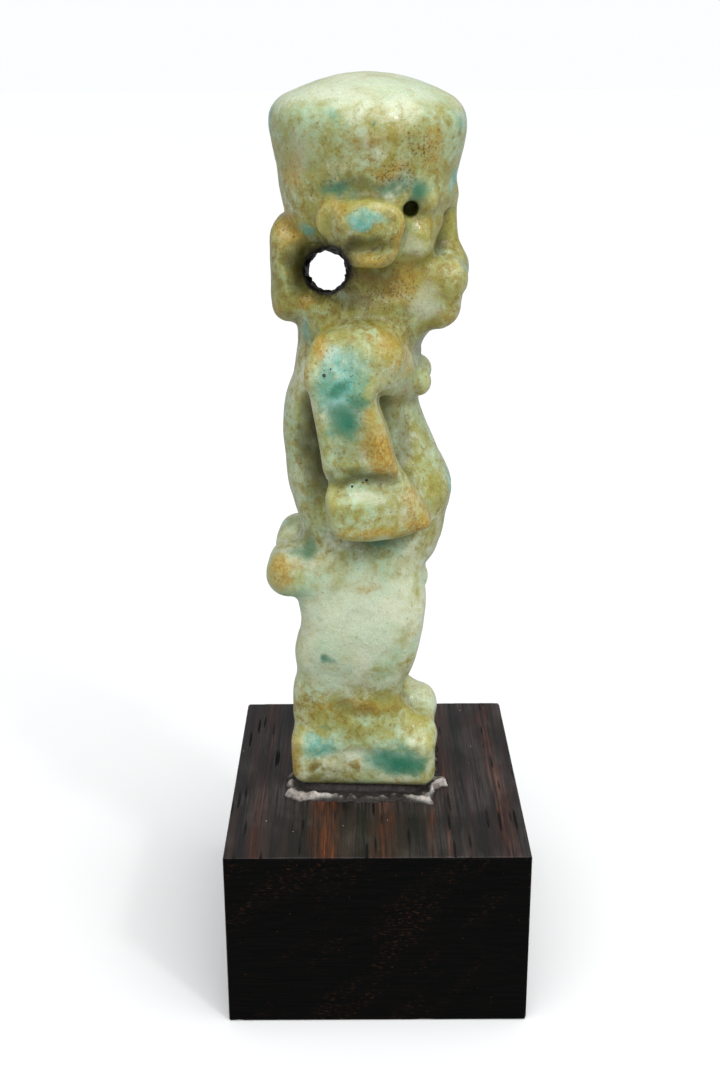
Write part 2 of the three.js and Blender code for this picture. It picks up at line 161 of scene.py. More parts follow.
def loft(p, stations, square, end_seam):
    """A form with rounded level sections. Each station is (up, back, front, half width, middle)."""
    stations = np.array(stations, float)
    up = np.clip(p[2], stations[0, 0], stations[-1, 0])
    back, front, half, middle = (station_value(stations, column, up) for column in (1, 2, 3, 4))
    fore = p[1] - (back + front) / 2
    side = p[0] - middle
    reach = np.maximum(length(fore, side), 1e-6)
    fore_share = np.abs(fore) / ((front - back) / 2)
    side_share = np.abs(side) / half
    share = (fore_share**square + side_share**square) ** (1 / square)
    around = reach - reach / np.maximum(share, 1e-6)
    ends = np.maximum(stations[0, 0] - p[2], p[2] - stations[-1, 0])
    return meet(around, ends, end_seam)


# The amulet's forms, from its base up. Both sides are alike, so each form is made once.

BASE_HALF = (4.4, 4.95)
BASE_FORE = -0.1
BASE_TOP = 3.9


def base(p):
    return round_box(p, (0, BASE_FORE, BASE_TOP / 2), (*BASE_HALF, BASE_TOP / 2), 0.9)


LEG_STATIONS = (
    (3.4, -4.8, 2.9, 1.8, 2.5),
    (5.0, -4.95, 2.6, 1.75, 2.5),
    (7.0, -4.9, 2.6, 1.8, 2.6),
    (8.4, -4.65, 3.1, 1.95, 2.8),
    (10.0, -4.75, 3.6, 2.2, 3.0),
    (12.2, -4.3, 4.0, 2.4, 3.1),
    (14.5, -4.6, 4.1, 2.5, 2.9),
    (17.0, -4.6, 3.4, 2.6, 2.5),
)


def leg(p):
    thigh_and_shin = loft(p, LEG_STATIONS, 2.4, 0.8)
    foot = limb(p, (2.4, -0.6, 4.6), (2.5, 3.6, 3.55), 1.7, 1.35)
    buttock = round_box(p, (2.8, -4.0, 15.8), (2.4, 2.4, 1.6), 1.4)
    web = round_box(p, (0, -0.6, 9.5), (1.2, 1.3, 6.5), 0.4)
    return join(join(join(thigh_and_shin, foot, 1.4), buttock, 0.7), web, 0.4)


TORSO_STATIONS = (
    (15.6, -4.0, 4.4, 4.3, 0),
    (17.0, -4.4, 5.0, 4.8, 0),
    (19.0, -4.6, 5.4, 5.0, 0),
    (21.2, -5.2, 5.8, 4.9, 0),
    (23.4, -5.4, 4.9, 4.5, 0),
    (25.2, -5.5, 4.1, 4.2, 0),
    (27.0, -5.3, 3.5, 4.3, 0),
    (29.0, -4.7, 3.6, 4.7, 0),
    (31.5, -4.2, 3.4, 4.0, 0),
)


def torso(p):
    trunk = loft(p, TORSO_STATIONS, 2.3, 1.0)
    breast = limb(p, (2.7, 1.95, 28.7), (5.6, 0.9, 30.6), 1.45, 1.9)
    nipple = ellipsoid(p, (1.9, 3.7, 28.4), (0.9, 0.6, 0.8))
    collar = limb(p, (2.4, 1.0, 30.3), (5.4, -0.4, 30.4), 1.8, 2.0)
    groin = ellipsoid(p, (0, 3.2, 14.3), (1.0, 1.0, 1.3))
    navel = ellipsoid(p, (0, 6.1, 20.6), (0.5, 0.6, 0.5))
    chest = join(join(trunk, breast, 0.6), nipple, 0.8)
    return cut(join(join(chest, groin, 0.5), collar, 0.9), navel, 0.3)


# The arm seen from the side, as (fore, up), from behind the shoulder down round the hand and back.
ARM_CORNERS = (
    (-3.1, 31.4), (-3.4, 29.6), (-3.0, 28.4), (-2.35, 24.0), (-2.0, 23.1), (-2.2, 22.0),
    (-1.9, 20.2), (-1.1, 19.4), (1.3, 19.2), (3.7, 19.7), (4.35, 20.5), (2.4, 23.8),
    (1.8, 26.0), (1.0, 28.2), (1.4, 29.1), (2.8, 29.4), (2.9, 30.8), (2.1, 32.1),
    (0.8, 32.5), (-2.2, 32.3),
)
ARM_OUTLINE = smooth_outline(ARM_CORNERS)
ARM_SIDE = 6.65
WRIST_UP = 23.1


def arm(p):
    at_hand = smoothstep(WRIST_UP + 2, WRIST_UP - 1, p[2]) * smoothstep(-1, 4.4, p[1])
    at_shoulder = smoothstep(28.5, 33, p[2])
    at_chest = smoothstep(0.4, 3.2, p[1]) * smoothstep(27.5, 29, p[2])
    inward = 1.1 * at_hand + 1.4 * at_shoulder + 2.3 * at_chest
    whole = slab(p, ARM_OUTLINE, 0, ARM_SIDE - inward, 1.45, 0.8)
    crease = limb(p, (8.75, -3, 23.2), (8.3, 3.4, 22.9), 1.1)
    return cut(whole, crease, 0.5)


HEAD_STATIONS = (
    (30.4, -3.6, 3.0, 3.4, 0),
    (31.6, -4.2, 4.2, 4.2, 0),
    (33.2, -4.4, 4.7, 4.6, 0),
    (35.0, -4.4, 4.7, 4.7, 0),
    (37.0, -4.5, 4.6, 4.8, 0),
    (39.0, -5.0, 4.9, 5.1, 0),
    (41.6, -5.35, 5.2, 5.4, 0),
)
MANE_STATIONS = (
    (32.2, -5.8, -2.6, 2.4, 0),
    (33.4, -5.95, -2.6, 3.1, 0),
    (35.6, -5.95, -2.6, 3.5, 0),
    (37.6, -5.95, -2.6, 3.3, 0),
    (38.8, -5.8, -2.6, 2.4, 0),
)
LOCK_WIDTH = 0.95
LOCK_DEPTH = 0.09


def face(p):
    brow = limb(p, (0, 5.0, 40.2), (3.7, 3.7, 40.1), 0.85, 1.0)
    bridge = limb(p, (0, 4.85, 39.8), (0, 5.0, 36.8), 0.8, 1.0)
    nose = ellipsoid(p, (0, 4.85, 35.9), (1.9, 1.65, 1.1))
    eye = ellipsoid(p, (2.3, 3.9, 38.6), (1.2, 0.95, 0.8))
    cheek = round_box(p, (3.45, 2.8, 37.7), (1.5, 1.6, 1.45), 1.25)
    muzzle = round_box(p, (0, 3.9, 35.0), (3.8, 2.6, 1.5), 1.4)
    jaw = round_box(p, (0, 3.1, 33.5), (3.6, 3.1, 1.7), 1.6)
    return (brow, bridge, nose, eye, cheek, muzzle, jaw)


def head(p):
    """The head with the locks of the mane lightly incised down its back."""
    solid = loft(p, HEAD_STATIONS, 2.6, 0.8)
    for feature in face(p):
        solid = join(solid, feature, 0.7)
    mouth = limb(p, (0, 6.8, 34.1), (2.3, 6.2, 34.0), 0.5, 0.4)
    under_ear = ellipsoid(p, (5.5, 0.6, 35.1), (1.3, 2.4, 1.4))
    on_back = smoothstep(-5.0, -5.7, p[1]) * smoothstep(3.3, 2.7, p[0])
    locks = LOCK_DEPTH * on_back * np.cos(2 * math.pi * p[0] / LOCK_WIDTH)
    mane = loft(p, MANE_STATIONS, 3.5, 1.0) - np.minimum(locks, 0)
    return join(cut(cut(solid, mouth, 0.3), under_ear, 0.7), mane, 0.6)


EAR_CORE = ((-0.3, 37.65), (1.1, 37.65), (1.45, 38.95), (-1.5, 38.95))


def ear(p):
    """A thick upright flap with a full upper lobe over a shallow hollow."""
    inward = 1.3 * smoothstep(1.2, -2.8, p[1])
    flap = slab(p, np.array(EAR_CORE), 1.25, 5.75 - inward, 1.6, 0.55)
    hollow = ellipsoid(p, (8.0, -0.4, 37.6), (1.45, 2.6, 0.85))
    lobe = ellipsoid(p, (6.3, 0.4, 39.0), (1.25, 2.1, 1.3))
    return join(cut(flap, hollow, 0.4), lobe, 0.5)


CUP_UP = (39.5, 45.0)
CUP_SIDE = (5.5, 6.65)
CUP_REACH = (5.2, 6.4)
CUP_FORE = 0.2
DOME_RADIUS = 10.6


def headdress(p):
    """A cup that flares upwards, under a shallow dome."""
    t = np.clip((p[2] - CUP_UP[0]) / (CUP_UP[1] - CUP_UP[0]), -0.2, 1.4)
    side = CUP_SIDE[0] + (CUP_SIDE[1] - CUP_SIDE[0]) * t
    fore = CUP_REACH[0] + (CUP_REACH[1] - CUP_REACH[0]) * t
    around = (length(p[0] / side, (p[1] - CUP_FORE) / fore) - 1) * np.minimum(side, fore)
    dome = length(p[0], p[1], p[2] - (FIGURE_HEIGHT - DOME_RADIUS)) - DOME_RADIUS
    return np.maximum(meet(around, dome, 1.4), CUP_UP[0] - p[2])


# The hole for the cord runs from side to side behind the ears, and falls and drifts back a little
# on its way.
BORE_RADIUS = 1.37
BORE_FORE = -2.45
BORE_UP = 35.2
BORE_DRIFT = -0.06
BORE_FALL = -0.16


def bore_distance(side, fore, up):
    off_fore = fore - BORE_FORE - BORE_DRIFT * side
    off_up = up - BORE_UP - BORE_FALL * side
    return length(off_fore, off_up) - BORE_RADIUS


def amulet_field(side, fore, up):
    """The whole amulet, with the pits at its temples and the dished mouths of the hole."""
    p = (np.abs(side), fore, up)
    body = join(join(base(p), leg(p), 0.7), torso(p), 0.9)
    with_arms = join(body, arm(p), 0.6)
    top = join(join(head(p), headdress(p), 0.5), ear(p), 0.7)
    whole = join(with_arms, top, 1.1)
    temple = limb(p, (6.5, 3.2, 39.6), (3.7, 2.85, 39.6), 0.52, 0.4)
    dish = ellipsoid(p, (5.2, -3.1, 35.7), (3.0, 1.45, 2.3))
    return cut(cut(cut(whole, temple, 0.2), dish, 0.6), bore_distance(side, fore, up), 0.25)


# Random values that vary smoothly, and the meshing of a field


def lookup(values, at):
    """The values of a grid between its crossings, at places counted in cells, wrapping round."""
    low = np.floor(at).astype(int)
    share = smoothstep(0, 1, at - low)
    found = np.zeros(len(at))
    for corner in np.ndindex(2, 2, 2):
        weight = np.prod(np.where(corner, share, 1 - share), axis=1)
        found += weight * values[tuple(((low + corner) % values.shape).T)]
    return found


def noise(points, size, seed):
    """Smooth random values from -1 to 1 that vary over about the given size."""
    lattice = np.random.default_rng(seed).uniform(-1, 1, (NOISE_LATTICE,) * 3)
    return lookup(lattice, points / size + NOISE_LATTICE * 10)


def inside_share(inside, reach):
    """The share that is inside of the cube of cells that reaches so far from each crossing."""
    share = inside.astype(float)
    for axis, count in enumerate(inside.shape):
        summed = np.insert(np.cumsum(share, axis), 0, 0, axis)
        first = np.clip(np.arange(count) - reach, 0, count)
        last = np.clip(np.arange(count) + reach + 1, 0, count)
        share = (summed.take(last, axis) - summed.take(first, axis)) / (2 * reach + 1)
    return share


def fill_pinches(values):
    """Fills crevices thinner than a cell, so that the surface never touches itself."""
    while True:
        filled = 0
        for u, w in ((0, 1), (1, 2), (0, 2)):
            steps = np.eye(3, dtype=int)[[u, w]]
            square = [np.zeros(3, int), steps[0], steps[0] + steps[1], steps[1]]
            size = np.array(values.shape) - steps.sum(0)
            corners = [values[tuple(slice(c, c + n) for c, n in zip(at, size))] for at in square]
            inside = [corner < 0 for corner in corners]
            pinched = (inside[0] == inside[2]) & (inside[1] == inside[3]) & (inside[0] != inside[1])
            for cell in np.argwhere(pinched):
                nodes = [tuple(cell + at) for at in square]
                empty = [node for node in nodes if values[node] >= 0]
                if len(empty) == 2:
                    values[min(empty, key=lambda node: values[node])] = JUST_INSIDE
                    filled += 1
        if not filled:
            return


def crossed_edges(values, lines, axis):
    """The grid's edges along an axis that cross the surface: their low nodes and the places."""
    step = np.eye(3, dtype=int)[axis]
    low = values[tuple(slice(0, n - s) for n, s in zip(values.shape, step))]
    high = values[tuple(slice(s, n) for n, s in zip(values.shape, step))]
    nodes = np.argwhere((low < 0) != (high < 0))
    v0, v1 = low[tuple(nodes.T)], high[tuple(nodes.T)]
    places = np.stack([lines[k][nodes[:, k]] for k in range(3)], axis=1)
    places[:, axis] += v0 / (v0 - v1) * CELL
    return nodes, places


def surface_net(field):
    """Meshes a field's zero surface: one vertex in each crossed cell, one quad across each edge."""
    lines = [np.arange(low, high, CELL) for low, high in zip(GRID_LOW, GRID_HIGH)]
    values = field(lines[0][:, None, None], lines[1][None, :, None], lines[2][None, None, :])
    fill_pinches(values)
    shape = np.array(values.shape)
    edges = [crossed_edges(values, lines, axis) for axis in range(3)]
    rings, cells, places = [], [], []
    for axis, (nodes, crossings) in enumerate(edges):
        u, w = np.eye(3, dtype=int)[[(axis + 1) % 3, (axis + 2) % 3]]
        around = np.stack([nodes - u - w, nodes - w, nodes, nodes - u], axis=1)
        numbers = np.ravel_multi_index(tuple(around.transpose(2, 0, 1)), shape)
        flipped = values[tuple(nodes.T)] < 0
        rings.append(np.where(flipped[:, None], numbers[:, ::-1], numbers))
        cells.append(numbers.ravel())
        places.append(np.repeat(crossings, 4, axis=0))
    rings, cells, places = (np.concatenate(part) for part in (rings, cells, places))
    used, vertex = np.unique(cells, return_inverse=True)
    count = np.bincount(vertex)
    points = np.stack([np.bincount(vertex, places[:, k]) / count for k in range(3)], axis=1)
    quads = np.searchsorted(used, rings)
    return settle(field, points), quads, values


def field_slope(field, points):
    """The field's values at points, and their slopes."""
    value = field(*points.T)
    slope = [(field(*(points + SLOPE_STEP * axis).T) - value) / SLOPE_STEP for axis in np.eye(3)]
    return value, np.stack(slope, axis=1)


def settle(field, points):
    """Draws points onto the surface along the field's slope, by no more than half a cell."""
    start = points
    for _ in range(2):
        value, slope = field_slope(field, points)
        steep = np.maximum((slope**2).sum(1), LEAST_STEEPNESS)
        points = points - (value / steep)[:, None] * slope
        points = start + np.clip(points - start, -CELL / 2, CELL / 2)
    return points


# Stains, glaze and painted shade


# Places on the figure: (side, fore, up), how far they reach (fore, up), and how strong they are.
# Its right side, which the photograph shows, is where side is negative.
TURQUOISE = (
    ((-8.0, -1.1, 29.3), (1.9, 3.1), 1.0),
    ((-7.3, 0.3, 39.3), (1.2, 0.6), 1.0),
    ((-1.5, 5.4, 41.0), (0.7, 0.8), 0.9),
    ((-1.5, -6.0, 44.6), (0.6, 1.1), 0.7),
    ((-1.5, 6.4, 44.8), (0.8, 1.7), 0.9),
    ((-4.0, -3.9, 32.0), (0.8, 1.0), 0.8),
    ((3.0, 4.4, 27.8), (0.9, 1.0), 0.9),
    ((-1.0, 5.7, 22.0), (0.7, 1.2), 0.9),
    ((-4.4, -3.4, 38.1), (0.7, 0.5), 0.8),
    ((-5.3, -1.2, 40.8), (1.3, 0.8), 0.55),
    ((-5.2, 2.0, 40.9), (1.0, 0.6), 0.5),
    ((-6.0, -1.5, 45.2), (0.6, 0.8), 0.5),
    ((3.0, -5.3, 16.8), (1.2, 1.2), 0.6),
    ((-2.0, -6.4, 16.2), (0.6, 1.0), 0.7),
    ((-4.4, -3.1, 3.2), (1.3, 0.7), 0.9),
    ((-4.4, 2.0, 2.3), (2.4, 1.3), 0.75),
    ((-1.5, 6.3, 35.5), (0.8, 1.2), 0.5),
)
TEAL = (
    ((-8.0, -1.3, 29.2), (0.9, 0.8), 1.0),
    ((-8.0, -0.9, 27.1), (1.3, 1.1), 1.0),
    ((-8.0, -2.2, 29.9), (0.5, 1.2), 0.6),
    ((-8.0, 0.3, 28.6), (1.0, 0.8), 0.7),
    ((-4.7, 3.4, 40.4), (1.0, 0.8), 0.9),
    ((-6.2, 1.1, 44.8), (0.2, 0.2), 0.8),
    ((-4.2, -3.8, 17.8), (1.1, 0.8), 0.8),
    ((-5.0, 0.9, 18.4), (1.6, 0.6), 0.6),
    ((-4.4, 2.5, 2.1), (2.1, 1.2), 1.0),
    ((-4.6, -2.2, 9.7), (0.5, 0.5), 0.85),
    ((-5.3, -1.4, 40.7), (1.1, 0.5), 0.6),
    ((-5.4, 1.6, 40.9), (0.9, 0.5), 0.5),
    ((-5.0, -2.7, 13.3), (0.4, 0.3), 0.4),
    ((-4.4, -2.9, 4.4), (0.5, 0.25), 0.5),
    ((-8.0, -0.7, 22.4), (0.2, 0.2), 0.6),
)
OCHRE = (
    ((-7.8, 1.4, 25.2), (1.5, 2.1), 1.0),
    ((-7.8, 0.9, 27.5), (0.6, 1.3), 0.6),
    ((-5.8, 1.7, 31.0), (1.9, 1.6), 0.85),
    ((-6.5, -3.4, 29.7), (0.9, 1.1), 0.9),
    ((-6.8, -2.7, 31.9), (0.6, 1.0), 0.7),
    ((-6.2, 3.7, 20.4), (1.8, 1.5), 1.0),
    ((-7.4, 0.6, 19.7), (3.0, 0.6), 0.6),
    ((-6.6, 3.0, 21.9), (0.9, 1.0), 0.6),
    ((-4.8, -5.4, 16.3), (1.0, 1.5), 0.8),
    ((-2.9, -4.8, 38.2), (1.4, 1.2), 0.8),
    ((-2.9, -5.6, 33.0), (0.8, 0.9), 0.5),
    ((-7.0, 2.4, 38.0), (0.5, 1.9), 0.7),
    ((-7.0, 0.6, 36.8), (1.8, 0.5), 0.7),
    ((-6.8, -1.5, 39.9), (1.0, 0.5), 0.6),
    ((-5.0, 4.4, 43.2), (1.3, 1.6), 0.7),
    ((-4.4, -4.2, 41.7), (0.9, 1.5), 0.65),
    ((-5.4, 1.6, 41.8), (1.4, 0.7), 0.7),
    ((-6.2, 0.8, 43.8), (3.0, 0.8), 0.45),
    ((-4.4, 2.4, 35.0), (1.6, 1.2), 0.85),
    ((-4.6, 0.6, 35.5), (1.5, 0.5), 0.8),
    ((-2.0, 5.4, 32.9), (1.0, 0.9), 0.6),
    ((-4.2, 3.9, 38.9), (0.9, 0.7), 0.4),
    ((-2.8, -3.7, 33.7), (1.1, 0.7), 0.7),
    ((-4.6, -3.1, 22.7), (0.8, 1.0), 0.5),
    ((-4.3, 2.3, 27.9), (0.8, 1.5), 0.5),
    ((-4.2, 0.5, 6.3), (1.8, 0.8), 0.8),
    ((-4.2, -2.6, 5.9), (1.4, 0.6), 0.5),
    ((-3.5, 2.9, 12.1), (0.8, 2.0), 0.5),
    ((-5.3, 0.2, 15.2), (0.7, 0.5), 0.6),
    ((-4.2, -4.8, 2.0), (0.7, 1.6), 0.7),
    ((-4.4, -3.3, 2.0), (0.5, 0.5), 0.8),
    ((-4.4, -0.7, 2.0), (0.6, 0.5), 0.7),
)
PALE = (
    ((-5.2, -0.4, 13.0), (3.3, 3.6), 1.0),
    ((-4.4, -2.0, 9.0), (2.2, 2.4), 0.7),
    ((-3.8, 3.9, 33.6), (1.5, 1.2), 0.8),
    ((-4.4, -3.9, 42.8), (1.2, 1.5), 0.5),
    ((3.0, 3.7, 3.6), (2.4, 1.8), 1.0),
    ((-8.0, -1.6, 31.3), (1.2, 0.7), 0.8),
    ((-4.9, 3.5, 37.2), (1.0, 0.9), 0.6),
    ((-4.0, -0.2, 2.4), (1.8, 1.1), 0.6),
    ((-7.4, 0.4, 22.2), (1.2, 0.4), 0.8),
)
# Painted shade, with some grime, in recesses and under overhangs: by the hole, at the ear, beside and
# under the arm and hand, at the foot and the base.
SHADE_AND_DIRT = (
    ((-3.6, -4.0, 35.9), (1.0, 2.2), 1.0),
    ((-3.2, -5.6, 35.4), (1.0, 2.6), 0.4),
    ((-4.6, 0.6, 35.7), (2.4, 0.8), 0.75),
    ((-4.2, -0.8, 34.2), (1.8, 0.9), 0.8),
    ((-3.6, 0.5, 33.2), (3.6, 1.0), 0.6),
    ((-4.4, -3.0, 25.2), (1.7, 5.2), 1.4),
    ((-7.2, 0.2, 23.5), (2.6, 0.6), 0.9),
    ((-7.8, -1.0, 23.7), (1.8, 0.5), 0.7),
    ((-4.0, 2.5, 25.0), (1.2, 3.6), 0.7),
    ((-4.6, 0.6, 18.7), (3.4, 1.0), 0.9),
    ((-4.3, 0.0, 6.0), (3.4, 0.9), 0.55),
    ((-4.4, -2.6, 1.0), (2.6, 1.0), 0.5),
    ((-4.4, -3.3, 1.9), (0.5, 0.5), 0.75),
    ((-4.4, -0.7, 1.9), (0.5, 0.5), 0.65),
    ((-7.3, -0.3, 37.7), (1.8, 0.7), 1.0),
    ((-7.4, 1.8, 37.2), (0.8, 1.8), 0.4),
    ((-5.2, 0.3, 41.0), (3.6, 0.9), 0.65),
    ((-5.6, 1.2, 43.6), (3.0, 0.7), 0.35),
    ((-4.6, 3.1, 39.6), (1.0, 0.9), 0.9),
)
SPECKLED = (
    ((-5.5, 3.5, 43.2), (1.4, 1.3), 1.0),
    ((-5.8, 1.7, 41.7), (1.6, 0.8), 1.0),
    ((-8.0, -0.6, 30.0), (0.9, 0.6), 1.0),
    ((-8.0, 0.1, 28.3), (0.8, 1.2), 0.8),
    ((-5.4, 2.6, 41.2), (0.8, 0.8), 1.0),
    ((-5.8, -1.0, 41.0), (1.3, 0.4), 0.8),
    ((-7.4, 1.4, 37.8), (0.6, 1.4), 0.8),
    ((-4.4, -2.2, 34.0), (1.5, 0.8), 0.9),
    ((-4.4, 1.2, 34.4), (2.2, 1.0), 0.7),
    ((-7.9, 0.3, 23.3), (0.8, 0.4), 1.0),
)
SIDE_REACH = 1.9

# What pushes the patches' edges about: how wide the pushes are, how far they go, and a seed.
PATCH_PUSHES = ((1.3, 0.5, 21), (0.45, 0.2, 24))

# The unseen side has the patches that lie well out on the seen side, but shifted and fainter.
WELL_OUT = 3
FAR_SIDE_SHIFT = 1.2
FAR_SIDE_STRENGTH = 0.75

# How many cells round a vertex tell how hollow the surface is there.
HOLLOW_REACHES = (2, 6, 14)

# Small round pits in the glaze, each a place on the figure and a radius.
PITS = (
    ((-8.0, -2.15, 30.05), 0.1),
    ((-8.0, -1.75, 30.4), 0.07),
    ((-7.8, 0.4, 23.35), 0.1),
    ((-7.8, 0.15, 23.2), 0.07),
    ((-7.8, -0.5, 22.95), 0.08),
    ((-4.6, -3.45, 23.9), 0.07),
    ((-4.6, -2.9, 24.0), 0.08),
)
PIT_FLATTENING = (0.15, 1, 1)

# How aged and yellowed the glaze is at heights on the figure, and how pale: the top of the dome is
# painted paler, partly as paler glaze and partly as painted light from above.
AGED_AT_UP = (
    (0, 0.6), (3.6, 0.6), (6, 0.95), (8.5, 0.45), (13, 0.25), (16.5, 0.5), (20, 0.7), (25, 0.65),
    (29, 0.6), (32, 0.9), (35, 0.95), (39, 0.9), (42, 0.75), (44.5, 0.65), (46, 0.4),
)
PALE_AND_LIT_AT_UP = ((16, 0.0), (44.4, 0.0), (45.6, 0.25), (46.6, 0.6))


def patch_weight(points, patches):
    """How strongly the strongest patch marks each point, fading out unevenly at its edges."""
    pushed = points
    for size, far, seed in PATCH_PUSHES:
        pushed = pushed + far * np.stack([noise(points, size, seed + k) for k in range(3)], axis=1)
    weight = np.zeros(len(points))
    for centre, (fore_reach, up_reach), strength in patches:
        share = (pushed - centre) / (SIDE_REACH, fore_reach, up_reach)
        weight = np.maximum(weight, strength * smoothstep(1.5, 0.1, length(*share.T)))
    return weight


def value_at_up(points, table):
    """The table's value at each point's height."""
    ups, values = zip(*table)
    return np.interp(points[:, 2], ups, values)


def far_side(patches, seed):
    """Fainter patches for the side that isn't seen, near where the seen side has its own."""
    random = np.random.default_rng(seed)
    made = []
    for (side, fore, up), reach, strength in patches:
        if side < -WELL_OUT:
            shift = random.uniform(-FAR_SIDE_SHIFT, FAR_SIDE_SHIFT, 2)
            place = (-side, fore + shift[0], up + shift[1])
            made.append((place, reach, FAR_SIDE_STRENGTH * strength))
    return tuple(made)


def stain_attributes(points, values):
    """What the glaze's nodes read at each vertex."""
    cells = (points - GRID_LOW) / CELL
    inside = values < 0
    narrow, middling, broad = (lookup(inside_share(inside, r), cells) for r in HOLLOW_REACHES)
    names = ("turquoise", "teal", "ochre", "pale", "shade_and_dirt", "speckled")
    attributes = {}
    for seed, name, patches in zip(range(30, 36), names, (TURQUOISE, TEAL, OCHRE, PALE, SHADE_AND_DIRT, SPECKLED)):
        attributes[name] = patch_weight(points, patches + far_side(patches, seed))
    # Painted shade, with some dirt: the more hollow the surface round a vertex, the darker it is painted.
    hollow = np.maximum(smoothstep(0.52, 0.78, middling), 0.8 * smoothstep(0.42, 0.7, broad))
    attributes["shade_and_dirt"] = np.maximum(attributes["shade_and_dirt"], hollow)
    # Paler towards the top of the dome: partly paler glaze, partly painted light from above.
    attributes["pale"] = np.maximum(attributes["pale"], value_at_up(points, PALE_AND_LIT_AT_UP))
    attributes["aged"] = value_at_up(points, AGED_AT_UP)
    # Painted shade in narrow creases.
    attributes["crevice"] = smoothstep(0.52, 0.7, narrow)
    attributes["crest"] = smoothstep(0.46, 0.3, narrow)
    # Painted shade round the mouths of the hole and on its wall.
    attributes["near_bore"] = smoothstep(0.95, 0.0, bore_distance(*points.T))
    attributes["bore_wall_shade"] = smoothstep(0.22, 0.06, bore_distance(*points.T))
    return attributes


# Making of pieces


def placed(points):
    """Sets figure points in the part's own frame, in metres."""
    side, fore, up = points.T
    x = FIGURE_PLACE[0] + side * math.cos(FIGURE_TURN) - fore * math.sin(FIGURE_TURN)
    y = FIGURE_PLACE[1] - side * math.sin(FIGURE_TURN) - fore * math.cos(FIGURE_TURN)
    return np.stack([x, y, BLOCK_HIGH + PUTTY_THICKNESS + up], axis=1) * MM


def add_piece(name, points, faces, *materials):
    """A smoothly shaded object of points in metres."""
    mesh = bpy.data.meshes.new(name)
    mesh.from_pydata(points.tolist(), [], faces)
    mesh.validate()
    mesh.shade_smooth()
    for material in materials:
        mesh.materials.append(material)
    piece = bpy.data.objects.new(name, mesh)
    bpy.context.scene.collection.objects.link(piece)
    return piece


def add_attribute(piece, name, weights):
    """Gives each vertex of a piece a number for the nodes of its material to read."""
    attribute = piece.data.attributes.new(name, "FLOAT", "POINT")
    attribute.data.foreach_set("value", weights.astype(np.float32))


def stands_for(piece, node):
    """Hangs a piece on the root body and hides the solid that it replaces."""
    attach(piece, "root")
    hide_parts(node)


def amulet(material):
    """The figure, with its surface worn and its stains written to its vertices."""
    points, quads, values = surface_net(amulet_field)
    _, slope = field_slope(amulet_field, points)
    outward = slope / np.maximum(length(*slope.T), 1e-6)[:, None]
    lift = sum(depth * noise(points, size, seed) for size, depth, seed in WEAR)
    near_bore = smoothstep(0.25, 0.05, bore_distance(*points.T))
    for size, depth, seed in BORE_WEAR:
        lift += near_bore * depth * np.maximum(noise(points, size, seed), -0.2)
    above_sole = smoothstep(0.1, 0.6, points[:, 2])
    worn = points + outward * (lift * above_sole)[:, None]
    worn[points[:, 2] < SOLE_TOLERANCE, 2] = 0
    piece = add_piece("worn_amulet", placed(worn), quads.tolist(), material)
    for name, weights in stain_attributes(points, values).items():
        add_attribute(piece, name, weights)
    stands_for(piece, "faience_amulet")
    print("amulet triangles", 2 * len(quads))
    return piece


# The putty under the base, squeezed out past it in ragged lumps: where, spread, out and up.
PUTTY_LUMPS = (
    ((-4.6, -3.7), 1.1, 0.9, 0.3),
    ((-4.7, 4.0), 0.8, 1.1, 0.35),
    ((-4.6, 0.0), 3.0, 0.6, 0.0),
    ((-2.4, 5.1), 1.0, 0.8, 0.3),
    ((-3.2, -5.2), 1.2, 0.4, 0.1),
    ((4.6, 2.6), 1.5, 0.6, 0.2),
    ((4.4, -3.8), 1.3, 0.7, 0.25),
)
PUTTY_STEPS = 420
PUTTY_RINGS = 18
PUTTY_THIN = 0.08
PUTTY_RIDGE = 0.15
PUTTY_TUCK = 0.9
PUTTY_CREST_AT = 0.78
PUTTY_CREST_WIDTH = 0.14
PUTTY_ROUGHNESS = 0.14
BASE_SQUARENESS = 8


def base_outline(turns, out):
    """Points of the base's outline at turns about its middle, moved out, as side and fore."""
    side, fore = np.cos(turns), np.sin(turns)
    power = BASE_SQUARENESS
    share = (np.abs(side) ** power + np.abs(fore) ** power) ** (-1 / power)
    return side * share * (BASE_HALF[0] + out), BASE_FORE + fore * share * (BASE_HALF[1] + out)


